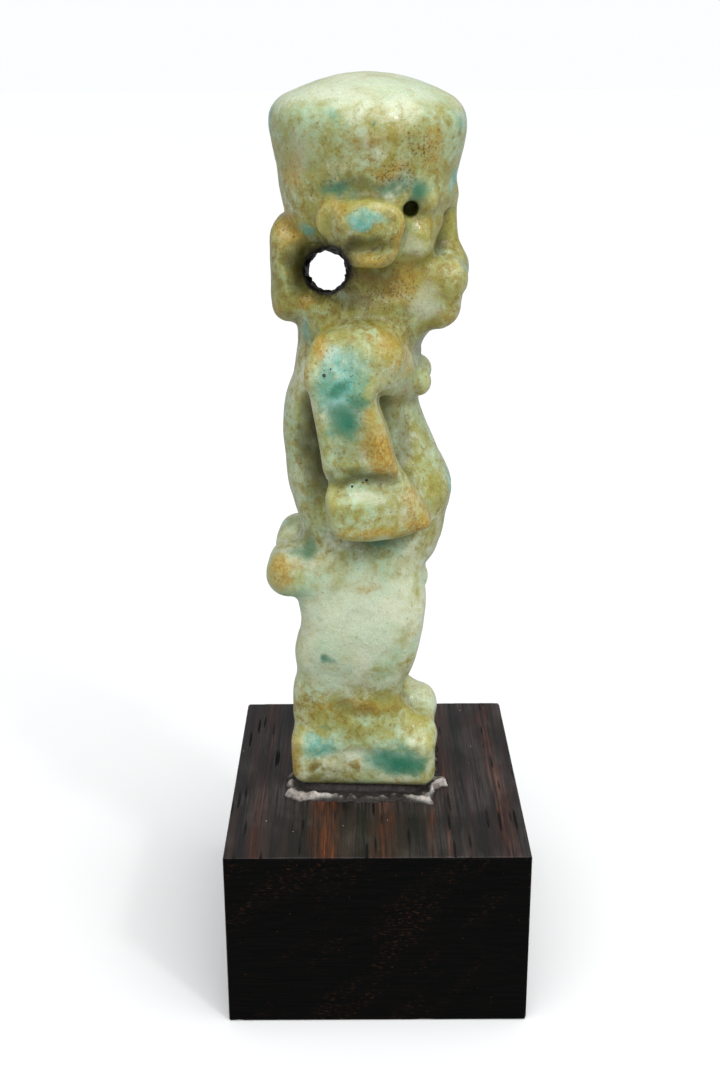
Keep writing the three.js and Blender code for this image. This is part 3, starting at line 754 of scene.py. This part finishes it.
def putty(material):
    """Rings of points from under the base out to the torn edge, closed above and below."""
    turns = np.arange(PUTTY_STEPS) * 2 * math.pi / PUTTY_STEPS
    side, fore = base_outline(turns, 0)
    out, up = np.zeros(PUTTY_STEPS), np.zeros(PUTTY_STEPS)
    for (lump_side, lump_fore), spread, lump_out, lump_up in PUTTY_LUMPS:
        near = np.exp(-((side - lump_side) ** 2 + (fore - lump_fore) ** 2) / spread**2)
        out += near * lump_out
        up += near * lump_up
    around = np.stack([side, fore, np.zeros(PUTTY_STEPS)], axis=1)
    ragged = 0.5 * noise(around, 0.9, 41) + 0.4 * noise(around, 0.35, 42)
    reach = np.maximum(0.3 + out * (1 + 0.6 * ragged) + 0.5 * ragged, 0.1)
    crest_at = PUTTY_CREST_AT + 0.08 * noise(around, 0.8, 45)
    crest_high = (PUTTY_RIDGE + up) * np.maximum(1 + 1.1 * noise(around, 0.6, 46), 0.1)
    rows, lit_and_clean = [], []
    for share in np.linspace(0, 1, PUTTY_RINGS):
        side, fore = base_outline(turns, share * (reach + PUTTY_TUCK) - PUTTY_TUCK)
        under = (PUTTY_THICKNESS - PUTTY_THIN) * smoothstep(0.3, 0.15, share)
        ridge = crest_high * np.exp(-(((share - crest_at) / PUTTY_CREST_WIDTH) ** 2))
        height = (PUTTY_THIN + under + ridge) * (1 - share**6)
        row = np.stack([side, fore, height], axis=1)
        rough = noise(row, 0.5, 43) + 0.8 * noise(row, 0.22, 44)
        height += PUTTY_ROUGHNESS * rough * smoothstep(0.45, 0.6, share) * (1 - share**4)
        row[:, 2] = np.maximum(height, 0.02)
        rows.append(row)
        # Painted shade and dirt: dark near the base, where the putty is tucked under its edge, and where
        # the putty is low.
        lit_and_clean.append(smoothstep(0.45, 0.6, share) * smoothstep(0.1, 0.35, row[:, 2] + 0.6 * up))
    rows[-1][:, 2] = 0
    points = np.concatenate(rows + [[[0, BASE_FORE, PUTTY_THICKNESS]], [[0, BASE_FORE, 0]]])
    points[:, 2] -= PUTTY_THICKNESS
    faces = ring_faces(PUTTY_RINGS, PUTTY_STEPS)
    top = PUTTY_RINGS * PUTTY_STEPS
    rim = top - PUTTY_STEPS
    for i in range(PUTTY_STEPS):
        after = (i + 1) % PUTTY_STEPS
        faces.append((top, after, i))
        faces.append((top + 1, rim + i, rim + after))
    piece = add_piece("ragged_putty", placed(points), faces, material)
    add_attribute(piece, "lit_and_clean", np.concatenate(lit_and_clean + [[0, 0]]))
    stands_for(piece, "mounting_putty")
    return piece


def ring_faces(rings, steps):
    """Quads between rings of points, each ring further out than the last."""
    numbers = np.arange(rings * steps).reshape(rings, steps)
    after = np.roll(numbers, -1, axis=1)
    quads = np.stack([numbers[:-1], after[:-1], after[1:], numbers[1:]], axis=-1)
    return quads.reshape(-1, 4).tolist()


def block_lines(half):
    """Places along a side of the block: close together at its edges, and even between them."""
    edge = BLOCK_EDGE * np.array([0, 0.3, 0.6, 0.85, 1.0, 1.5])
    count = int(2 * half / BLOCK_SPACING)
    inner = np.linspace(-half + 2 * BLOCK_EDGE, half - 2 * BLOCK_EDGE, count)
    return np.concatenate([-half + edge, inner, (half - edge)[::-1]])


def block(top_material, end_material):
    """The block, whose two faces across the grain have a material of their own."""
    half = np.array([*BLOCK_HALF, BLOCK_HIGH / 2])
    lines = [block_lines(h) for h in half]
    counts = [len(line) for line in lines]
    numbers, keys, faces, ends = {}, [], [], []

    def number(key):
        if key not in numbers:
            numbers[key] = len(keys)
            keys.append(key)
        return numbers[key]

    for axis in range(3):
        u, w = (axis + 1) % 3, (axis + 2) % 3
        for last in (0, counts[axis] - 1):
            for i in range(counts[u] - 1):
                for j in range(counts[w] - 1):
                    ring = []
                    for du, dw in ((0, 0), (1, 0), (1, 1), (0, 1)):
                        key = [0, 0, 0]
                        key[axis], key[u], key[w] = last, i + du, j + dw
                        ring.append(number(tuple(key)))
                    faces.append(ring if last else ring[::-1])
                    ends.append(axis == 0)
    keys = np.array(keys)
    points = np.stack([lines[k][keys[:, k]] for k in range(3)], axis=1)
    points = worn_box(points, half)
    points[:, 2] += half[2]
    piece = add_piece("dark_block", points * MM, faces, top_material, end_material)
    piece.data.polygons.foreach_set("material_index", np.array(ends, np.int32))
    stands_for(piece, "wooden_block")
    return piece


def worn_box(points, half):
    """Rounds and slightly chips the edges of a box's points."""
    core = np.clip(points, -half + BLOCK_EDGE, half - BLOCK_EDGE)
    out = points - core
    reach = np.maximum(length(*out.T), 1e-6)[:, None]
    directions = out / reach
    on_edge = smoothstep(1.0, 1.25, np.abs(directions).sum(1))
    small = smoothstep(0.25, 0.8, noise(points, 0.55, 51))
    large = smoothstep(0.3, 0.9, noise(points, 1.6, 52))
    radius = BLOCK_EDGE - CHIP_DEPTH * on_edge * (small + 0.5 * large)
    return core + directions * radius[:, None]


# Materials


def colour(red, green, blue):
    """A colour given as it looks on screen, from 0 to 255."""
    shares = [v / 255 for v in (red, green, blue)]
    linear = [((s + 0.055) / 1.055) ** 2.4 if s > 0.04045 else s / 12.92 for s in shares]
    return (*linear, 1)


class Nodes:
    """Short ways to make the nodes of one material."""

    def __init__(self, name):
        self.material = bpy.data.materials.new(name)
        self.material.use_nodes = True
        self.tree = self.material.node_tree
        self.shader = self.tree.nodes["Principled BSDF"]
        place = self.add("ShaderNodeTexCoord").outputs["Object"]
        self.mm = self.vector("SCALE", place, scale=1 / MM)

    def add(self, kind, **settings):
        node = self.tree.nodes.new(kind)
        for name, value in settings.items():
            setattr(node, name, value)
        return node

    def link(self, value, socket):
        if isinstance(value, bpy.types.NodeSocket):
            self.tree.links.new(value, socket)
        elif value is not None:
            socket.default_value = value

    def vector(self, operation, a, b=None, scale=None):
        node = self.add("ShaderNodeVectorMath", operation=operation)
        self.link(a, node.inputs[0])
        self.link(b, node.inputs[1])
        if scale is not None:
            self.link(scale, node.inputs["Scale"])
        return node.outputs["Value" if operation in ("LENGTH", "DISTANCE") else "Vector"]

    def stretched(self, factors, lean=0.0):
        """The place in millimetres, turned about X and then multiplied along each axis."""
        turned = self.add("ShaderNodeVectorRotate", rotation_type="X_AXIS")
        self.link(self.mm, turned.inputs["Vector"])
        turned.inputs["Angle"].default_value = lean
        node = self.add("ShaderNodeMapping")
        self.link(turned.outputs["Vector"], node.inputs["Vector"])
        node.inputs["Scale"].default_value = factors
        return node.outputs["Vector"]

    def noise(self, scale, detail=2.0, roughness=0.5, distortion=0.0, vector=None):
        node = self.add("ShaderNodeTexNoise")
        self.link(self.mm if vector is None else vector, node.inputs["Vector"])
        node.inputs["Scale"].default_value = scale
        node.inputs["Detail"].default_value = detail
        node.inputs["Roughness"].default_value = roughness
        node.inputs["Distortion"].default_value = distortion
        return node.outputs["Fac"]

    def streaks(self, factors, detail, roughness, lean=0.0):
        """A noise that is squeezed by so much along each axis."""
        return self.noise(1.0, detail, roughness, vector=self.stretched(factors, lean))

    def cells(self, scale, vector=None):
        node = self.add("ShaderNodeTexVoronoi")
        self.link(self.mm if vector is None else vector, node.inputs["Vector"])
        node.inputs["Scale"].default_value = scale
        return node

    def value(self, name):
        return self.add("ShaderNodeAttribute", attribute_name=name).outputs["Fac"]

    def math(self, operation, a, b=None, c=None):
        node = self.add("ShaderNodeMath", operation=operation)
        for socket, value in zip(node.inputs, (a, b, c)):
            self.link(value, socket)
        return node.outputs[0]

    def times(self, *values):
        product = values[0]
        for value in values[1:]:
            product = self.math("MULTIPLY", product, value)
        return product

    def ramp(self, value, low, high, to_low=0.0, to_high=1.0):
        """Goes smoothly from to_low to to_high as the value goes from low to high."""
        node = self.add("ShaderNodeMapRange", interpolation_type="SMOOTHSTEP")
        names = ("Value", "From Min", "From Max", "To Min", "To Max")
        for name, number in zip(names, (value, low, high, to_low, to_high)):
            self.link(number, node.inputs[name])
        return node.outputs["Result"]

    def blend(self, factor, a, b):
        node = self.add("ShaderNodeMix", data_type="RGBA")
        self.link(factor, node.inputs["Factor"])
        self.link(a, node.inputs["A"])
        self.link(b, node.inputs["B"])
        return node.outputs["Result"]

    def bump(self, height, distance, strength=1.0, normal=None):
        node = self.add("ShaderNodeBump")
        self.link(height, node.inputs["Height"])
        node.inputs["Distance"].default_value = distance * MM
        node.inputs["Strength"].default_value = strength
        self.link(normal, node.inputs["Normal"])
        return node.outputs["Normal"]

    def finish(self, colour_socket, roughness, normal, **constants):
        self.link(colour_socket, self.shader.inputs["Base Color"])
        self.link(roughness, self.shader.inputs["Roughness"])
        self.link(normal, self.shader.inputs["Normal"])
        for name, value in constants.items():
            self.shader.inputs[name.replace("_", " ")].default_value = value
        return self.material


MINT = colour(194, 228, 194)
WHITISH = colour(230, 240, 212)
OLIVE = colour(164, 162, 68)
BROWN_OLIVE = colour(142, 116, 36)
CREAM = colour(228, 214, 132)
# Painted shade, with some grime.
SHADE_AND_GRIME = colour(58, 64, 12)
OCHRE_LIGHT = colour(202, 174, 70)
OCHRE_DEEP = colour(168, 114, 20)
BROWN_SPECK = colour(104, 74, 26)
PIT_DARK = colour(22, 24, 14)
TURQUOISE_PALE = colour(150, 214, 204)
TURQUOISE_DEEP = colour(78, 180, 168)
TEAL_DARK = colour(4, 124, 98)
# Painted shade in the hole and round its mouths.
BORE_SHADE = colour(26, 18, 8)


def mottled(nodes, name, texture):
    """A painted weight that is broken up by a texture and fades out softly."""
    weight = nodes.value(name)
    return nodes.times(weight, nodes.ramp(nodes.math("ADD", weight, texture), 0.5, 1.05))


def pit_weight(nodes):
    """Where the small round pits lie: depth into the side counts little, so each one is full."""
    flattened = nodes.vector("MULTIPLY", nodes.mm, PIT_FLATTENING)
    total = 0.0
    for place, radius in PITS:
        middle = placed(np.array([place]))[0] / MM * PIT_FLATTENING
        distance = nodes.vector("DISTANCE", flattened, tuple(middle))
        total = nodes.math("MAXIMUM", nodes.ramp(distance, radius * 1.3, radius * 0.7), total)
    return total


def painted(nodes, tone, layers):
    """A colour with layers over it in turn, each a weight, a strength and a colour."""
    for weight, strength, over in layers:
        tone = nodes.blend(nodes.times(weight, strength), tone, over)
    return tone


def faience():
    """Pale green glaze, aged to olive and ochre, with turquoise patches, specks and pits, and painted
    shade with some dirt in its hollows and creases and round the hole.
    """
    nodes = Nodes("worn_faience")
    broad = nodes.noise(0.22, 3, 0.55, 0.4)
    patchy = nodes.noise(0.6, 5, 0.6, 0.5)
    blotch = nodes.noise(1.7, 5, 0.65, 0.3)
    close = nodes.noise(4.2, 5, 0.68)
    grain = nodes.noise(13.0, 3, 0.65)
    aged = nodes.value("aged")
    yellowed = nodes.math("MULTIPLY_ADD", aged, 0.34, nodes.times(patchy, 0.65))
    yellowed = nodes.math("MULTIPLY_ADD", blotch, 0.35, yellowed)
    stained = nodes.math("MULTIPLY_ADD", aged, 0.16, nodes.times(blotch, 0.6))
    stained = nodes.math("MULTIPLY_ADD", close, 0.4, stained)
    ochre = mottled(nodes, "ochre", blotch)
    turquoise = mottled(nodes, "turquoise", blotch)
    glaze = nodes.blend(nodes.ramp(patchy, 0.38, 0.6), TURQUOISE_PALE, TURQUOISE_DEEP)
    # Painted shade with some dirt, from the painted patches, the hollows and the creases.
    shade_and_dirt = nodes.math("MAXIMUM", mottled(nodes, "shade_and_dirt", blotch), nodes.times(nodes.value("crevice"), 0.8))
    speckled = nodes.math("MULTIPLY_ADD", ochre, 0.04, nodes.noise(6.5, 3, 0.6))
    speckled = nodes.math("MULTIPLY_ADD", nodes.value("speckled"), 0.09, speckled)
    specks = nodes.ramp(nodes.math("MULTIPLY_ADD", aged, 0.04, speckled), 0.66, 0.75)
    # Painted shade round the mouths of the hole.
    near_bore = nodes.times(nodes.value("near_bore"), nodes.ramp(blotch, 0.25, 0.6, 0.5, 1.0))
    pinholes = pit_weight(nodes)
    layers = (
        (nodes.ramp(yellowed, 0.54, 0.86, 0.05, 0.95), 1.0, OLIVE),
        (nodes.ramp(stained, 0.6, 0.76, 0.0, 0.85), 1.0, BROWN_OLIVE),
        (nodes.ramp(close, 0.5, 0.7, 0.0, 0.5), 1.0, CREAM),
        (mottled(nodes, "pale", blotch), 0.85, WHITISH),
        (nodes.value("crest"), 0.45, CREAM),
        (ochre, 0.85, OCHRE_LIGHT),
        (nodes.times(ochre, nodes.ramp(close, 0.38, 0.62)), 0.8, OCHRE_DEEP),
        (nodes.times(turquoise, nodes.ramp(close, 0.72, 0.48, 0.3, 0.95)), 1.0, glaze),
        # Painted shade, with some dirt.
        (shade_and_dirt, 0.85, SHADE_AND_GRIME),
        (mottled(nodes, "teal", close), 1.0, TEAL_DARK),
        (specks, 0.75, BROWN_SPECK),
        (nodes.ramp(grain, 0.32, 0.6, 0.25, 0.0), 1.0, BROWN_OLIVE),
        (nodes.ramp(grain, 0.6, 0.78, 0.0, 0.5), 1.0, WHITISH),
        # Painted shade round the hole's mouths.
        (near_bore, 0.85, BORE_SHADE),
        (pinholes, 1.0, PIT_DARK),
        # Painted shade on the hole's wall.
        (nodes.value("bore_wall_shade"), 1.0, BORE_SHADE),
    )
    tone = painted(nodes, nodes.blend(nodes.ramp(broad, 0.38, 0.62), MINT, WHITISH), layers)
    rough = nodes.ramp(blotch, 0.35, 0.7, 0.22, 0.4)
    rough = nodes.math("MAXIMUM", rough, nodes.times(shade_and_dirt, 0.5))
    rough = nodes.math("MAXIMUM", rough, nodes.times(near_bore, 0.95))
    pits = nodes.ramp(nodes.cells(3.2).outputs["Distance"], 0.02, 0.16)
    height = nodes.math("MULTIPLY_ADD", close, 0.6, nodes.times(grain, 0.3))
    height = nodes.math("MULTIPLY_ADD", pits, 0.3, height)
    height = nodes.math("SUBTRACT", height, nodes.times(specks, 0.5))
    height = nodes.math("SUBTRACT", height, nodes.times(pinholes, 2.5))
    normal = nodes.bump(nodes.noise(1.9, 3, 0.5), 0.07, 0.9)
    normal = nodes.bump(height, 0.055, 0.9, normal)
    return nodes.finish(
        tone,
        rough,
        normal,
        Subsurface_Radius=(1.0, 1.0, 0.7),
        Subsurface_Weight=0.1,
        Subsurface_Scale=0.5 * MM,
        Coat_Weight=0.18,
        Coat_Roughness=0.1,
        IOR=1.45,
    )


# Dirt and painted shade, where the putty is thin and under the base's edge.
PUTTY_SHADE_AND_DIRT = colour(42, 36, 34)
PUTTY_GREY = colour(128, 118, 110)
PUTTY_PALE = colour(200, 194, 188)


def putty_material():
    """Grey-white on its lumps, and dark where it is thin and under the base's edge: dirt and painted
    shade.
    """
    nodes = Nodes("grey_white_putty")
    patchy = nodes.noise(1.6, 4, 0.6)
    fine = nodes.noise(6.0, 3, 0.6)
    tone = nodes.blend(nodes.ramp(patchy, 0.35, 0.65), PUTTY_GREY, PUTTY_PALE)
    tone = nodes.blend(nodes.ramp(fine, 0.55, 0.75, 0.0, 0.6), tone, PUTTY_GREY)
    tone = nodes.blend(nodes.value("lit_and_clean"), PUTTY_SHADE_AND_DIRT, tone)
    rough = nodes.ramp(patchy, 0.3, 0.7, 0.45, 0.75)
    normal = nodes.bump(fine, 0.08)
    return nodes.finish(tone, rough, normal, Subsurface_Weight=0.1, Subsurface_Scale=0.4 * MM)


WOOD_BLACK = colour(19, 15, 15)
WOOD_BROWN = colour(50, 36, 32)
WOOD_RED = colour(92, 42, 18)
WOOD_FLECK = colour(150, 82, 38)
WOOD_PORE = colour(3, 2, 2)
# Grey dust with a painted sheen.
WOOD_SHEEN_AND_DUST = colour(96, 88, 86)
DUST = colour(220, 214, 204)
STRIPE_LEAN = 0.45
STRIPE_WANDER = 2.4

# The reddish stripes: where each lies across the block, half its width, and how strong it is.
STRIPES = (
    (7.75, 0.45, 0.4),
    (3.57, 0.8, 1.0),
    (-0.48, 0.7, 0.8),
    (-3.7, 0.25, 0.5),
    (-5.0, 0.3, 0.5),
    (-8.5, 0.6, 0.7),
)


def stripe_weight(nodes):
    """Where the wood's reddish stripes lie: they run along the block and wander a little."""
    wander = nodes.streaks((0.05, 0.35, 0.3), 3, 0.5)
    split = nodes.add("ShaderNodeSeparateXYZ")
    nodes.link(nodes.mm, split.inputs[0])
    lean = nodes.math("MULTIPLY_ADD", split.outputs["Z"], STRIPE_LEAN, -STRIPE_LEAN * BLOCK_HIGH)
    across = nodes.math("ADD", split.outputs["Y"], lean)
    across = nodes.math("SUBTRACT", across, STRIPE_WANDER / 2)
    across = nodes.math("MULTIPLY_ADD", wander, STRIPE_WANDER, across)
    total = 0.0
    for middle, half, strength in STRIPES:
        distance = nodes.math("ABSOLUTE", nodes.math("SUBTRACT", across, middle))
        weight = nodes.ramp(distance, half * 1.5, half * 0.3, 0.0, strength)
        total = nodes.math("MAXIMUM", weight, total)
    return total


def dust_weight(nodes, scale, size, rarity):
    """Sparse tiny grains: only some of the cells have one."""
    cells = nodes.cells(scale)
    split = nodes.add("ShaderNodeSeparateColor")
    nodes.link(cells.outputs["Color"], split.inputs[0])
    chosen = nodes.math("GREATER_THAN", split.outputs[0], rarity)
    return nodes.times(chosen, nodes.ramp(cells.outputs["Distance"], size, size * 0.6))


def long_grain_wood():
    """Near-black wood with reddish stripes, open pores, paler grey places of dust and painted sheen, and
    specks of dust.
    """
    nodes = Nodes("waxed_dark_wood")
    fibre = nodes.streaks((0.2, 6.0, 6.0), 4, 0.65)
    streak = nodes.streaks((0.07, 1.1, 1.1), 3, 0.55)
    broken = nodes.streaks((0.45, 2.2, 2.2), 3, 0.6)
    stripes = nodes.times(stripe_weight(nodes), nodes.ramp(broken, 0.3, 0.55, 0.35, 1.0))
    # Paler grey places: some dust and a painted sheen.
    worn = nodes.times(nodes.ramp(nodes.noise(0.16, 3, 0.6), 0.42, 0.66), nodes.ramp(fibre, 0.35, 0.65))
    pores = nodes.cells(1.0, nodes.stretched((0.17, 2.4, 2.4))).outputs["Distance"]
    pore_zone = nodes.streaks((0.1, 0.4, 0.4), 2, 0.5)
    open_pores = nodes.times(nodes.ramp(pores, 0.26, 0.16), nodes.ramp(pore_zone, 0.42, 0.54))
    layers = (
        (nodes.times(stripes, nodes.ramp(fibre, 0.36, 0.62)), 0.9, WOOD_RED),
        (nodes.times(stripes, nodes.ramp(fibre, 0.58, 0.72)), 0.6, WOOD_FLECK),
        (worn, 0.35, WOOD_SHEEN_AND_DUST),
        (open_pores, 1.0, WOOD_PORE),
        (dust_weight(nodes, 1.5, 0.08, 0.88), 0.7, DUST),
    )
    tone = painted(nodes, nodes.blend(nodes.ramp(streak, 0.38, 0.7), WOOD_BLACK, WOOD_BROWN), layers)
    rough = nodes.ramp(fibre, 0.3, 0.7, 0.5, 0.36)
    rough = nodes.math("MAXIMUM", rough, open_pores)
    height = nodes.math("SUBTRACT", nodes.times(fibre, 0.6), nodes.times(open_pores, 1.5))
    normal = nodes.bump(height, 0.08, 1.0)
    return nodes.finish(tone, rough, normal, Specular_IOR_Level=0.33)


END_BLACK = colour(4, 5, 5)
END_LINE = colour(13, 11, 10)
END_FLECK = colour(96, 62, 38)
END_BANDS_LEAN = math.radians(-42)


def end_grain_wood():
    """Black with fine level lines, and dim brown flecks in bands that rise towards -Y."""
    nodes = Nodes("end_grain_wood")
    lines = nodes.streaks((0.5, 0.4, 8.0), 3, 0.6)
    dashes = nodes.streaks((1.5, 2.2, 8.0), 3, 0.65)
    bands = nodes.streaks((0.3, 0.42, 0.1), 2, 0.5, END_BANDS_LEAN)
    layers = (
        (nodes.times(nodes.ramp(dashes, 0.52, 0.7), nodes.ramp(bands, 0.46, 0.66)), 0.36, END_FLECK),
        (nodes.ramp(nodes.noise(3.6, 2, 0.5), 0.72, 0.78), 0.5, END_FLECK),
        (dust_weight(nodes, 0.95, 0.07, 0.9), 0.9, DUST),
    )
    tone = painted(nodes, nodes.blend(nodes.ramp(lines, 0.35, 0.65), END_BLACK, END_LINE), layers)
    rough = nodes.ramp(lines, 0.3, 0.7, 0.55, 0.75)
    normal = nodes.bump(nodes.math("MULTIPLY_ADD", lines, 0.7, nodes.times(dashes, 0.3)), 0.05)
    return nodes.finish(tone, rough, normal, Specular_IOR_Level=0.05)


# Stage, light and camera

FLOOR_HALF = 2.5
FLOOR_DROP = 0.00002
FLOOR_SHADES = (colour(250, 251, 252), colour(254, 254, 254))
FLOOR_BOUNCE = colour(176, 178, 178)
SKY_COLOUR = (0.97, 0.99, 1.0, 1)
WORLD_LIGHT = 0.38
SUN_FROM = (-0.45, -0.12, 0.9)
SUN_ENERGY = 2.4
SUN_ANGLE = math.radians(80)
GLINT_FROM = (-0.35, -0.3, 0.4)
GLINT_ENERGY = 0.5
GLINT_SIZE = 0.06
LIT_PLACE = (0, 0, 0.04)
CAMERA_PLACE = (-89.5, 1.03, 61.56)
CAMERA_PITCH = math.radians(19.19)
CAMERA_ROLL = math.radians(-0.27)
PHOTO_HEIGHT = 1078
FOCAL_PIXELS = 1395
SENSOR = 36.0


def add_floor():
    """The camera sees a paler floor than the one that throws light back at the part."""
    corners = np.array([(-1, -1, 0), (1, -1, 0), (1, 1, 0), (-1, 1, 0)]) * (FLOOR_HALF, FLOOR_HALF, 0)
    corners[:, 2] = -FLOOR_DROP
    nodes = Nodes("pale_floor")
    tone = nodes.blend(nodes.noise(0.02, 2), *FLOOR_SHADES)
    seen = nodes.add("ShaderNodeLightPath").outputs["Is Camera Ray"]
    tone = nodes.blend(seen, FLOOR_BOUNCE, tone)
    material = nodes.finish(tone, 0.85, None, Specular_IOR_Level=0.1)
    add_piece("floor", corners, [(0, 1, 2, 3)], material)


def add_world():
    """The camera sees plain white behind the floor, and the light from all round is softer."""
    world = bpy.data.worlds.new("studio")
    bpy.context.scene.world = world
    world.use_nodes = True
    tree = world.node_tree
    background = tree.nodes["Background"]
    background.inputs["Color"].default_value = SKY_COLOUR
    seen = tree.nodes.new("ShaderNodeLightPath").outputs["Is Camera Ray"]
    strength = tree.nodes.new("ShaderNodeMapRange")
    strength.inputs["To Min"].default_value = WORLD_LIGHT
    tree.links.new(seen, strength.inputs["Value"])
    tree.links.new(strength.outputs["Result"], background.inputs["Strength"])


def add_light(name, kind, direction, energy, **settings):
    """A light that shines from a direction towards the figure."""
    data = bpy.data.lights.new(name, kind)
    data.energy = energy
    for setting, value in settings.items():
        setattr(data, setting, value)
    light = bpy.data.objects.new(name, data)
    towards = Vector(direction)
    light.location = Vector(LIT_PLACE) + towards
    light.rotation_euler = towards.to_track_quat("Z", "Y").to_euler()
    bpy.context.scene.collection.objects.link(light)


def add_lights():
    add_light("overhead", "SUN", SUN_FROM, SUN_ENERGY, angle=SUN_ANGLE)
    add_light("glint", "AREA", GLINT_FROM, GLINT_ENERGY, size=GLINT_SIZE)


def add_camera():
    data = bpy.data.cameras.new("photo_camera")
    data.sensor_fit = "VERTICAL"
    data.sensor_width = SENSOR
    data.sensor_height = SENSOR
    data.lens = FOCAL_PIXELS / PHOTO_HEIGHT * SENSOR
    data.clip_start = 0.005
    data.clip_end = 20
    camera = bpy.data.objects.new("photo_camera", data)
    forward = Vector((math.cos(CAMERA_PITCH), 0, -math.sin(CAMERA_PITCH)))
    level = Vector((0, -1, 0))
    upward = level.cross(forward)
    right = level * math.cos(CAMERA_ROLL) + upward * math.sin(CAMERA_ROLL)
    up = upward * math.cos(CAMERA_ROLL) - level * math.sin(CAMERA_ROLL)
    turn = Matrix((right, up, -forward)).transposed()
    camera.matrix_world = Matrix.Translation(Vector(CAMERA_PLACE) * MM) @ turn.to_4x4()
    bpy.context.scene.collection.objects.link(camera)
    bpy.context.scene.camera = camera


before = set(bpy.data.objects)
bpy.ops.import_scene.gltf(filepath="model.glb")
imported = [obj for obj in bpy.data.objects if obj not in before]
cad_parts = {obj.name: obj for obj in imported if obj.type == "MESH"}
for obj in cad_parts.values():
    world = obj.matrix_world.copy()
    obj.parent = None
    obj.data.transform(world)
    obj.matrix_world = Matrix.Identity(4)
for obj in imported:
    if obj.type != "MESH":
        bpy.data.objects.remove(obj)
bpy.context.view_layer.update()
add_camera()
add_world()
add_lights()
add_floor()
amulet(faience())
putty(putty_material())
block(long_grain_wood(), end_grain_wood())
bpy.context.scene.view_settings.view_transform = "Standard"
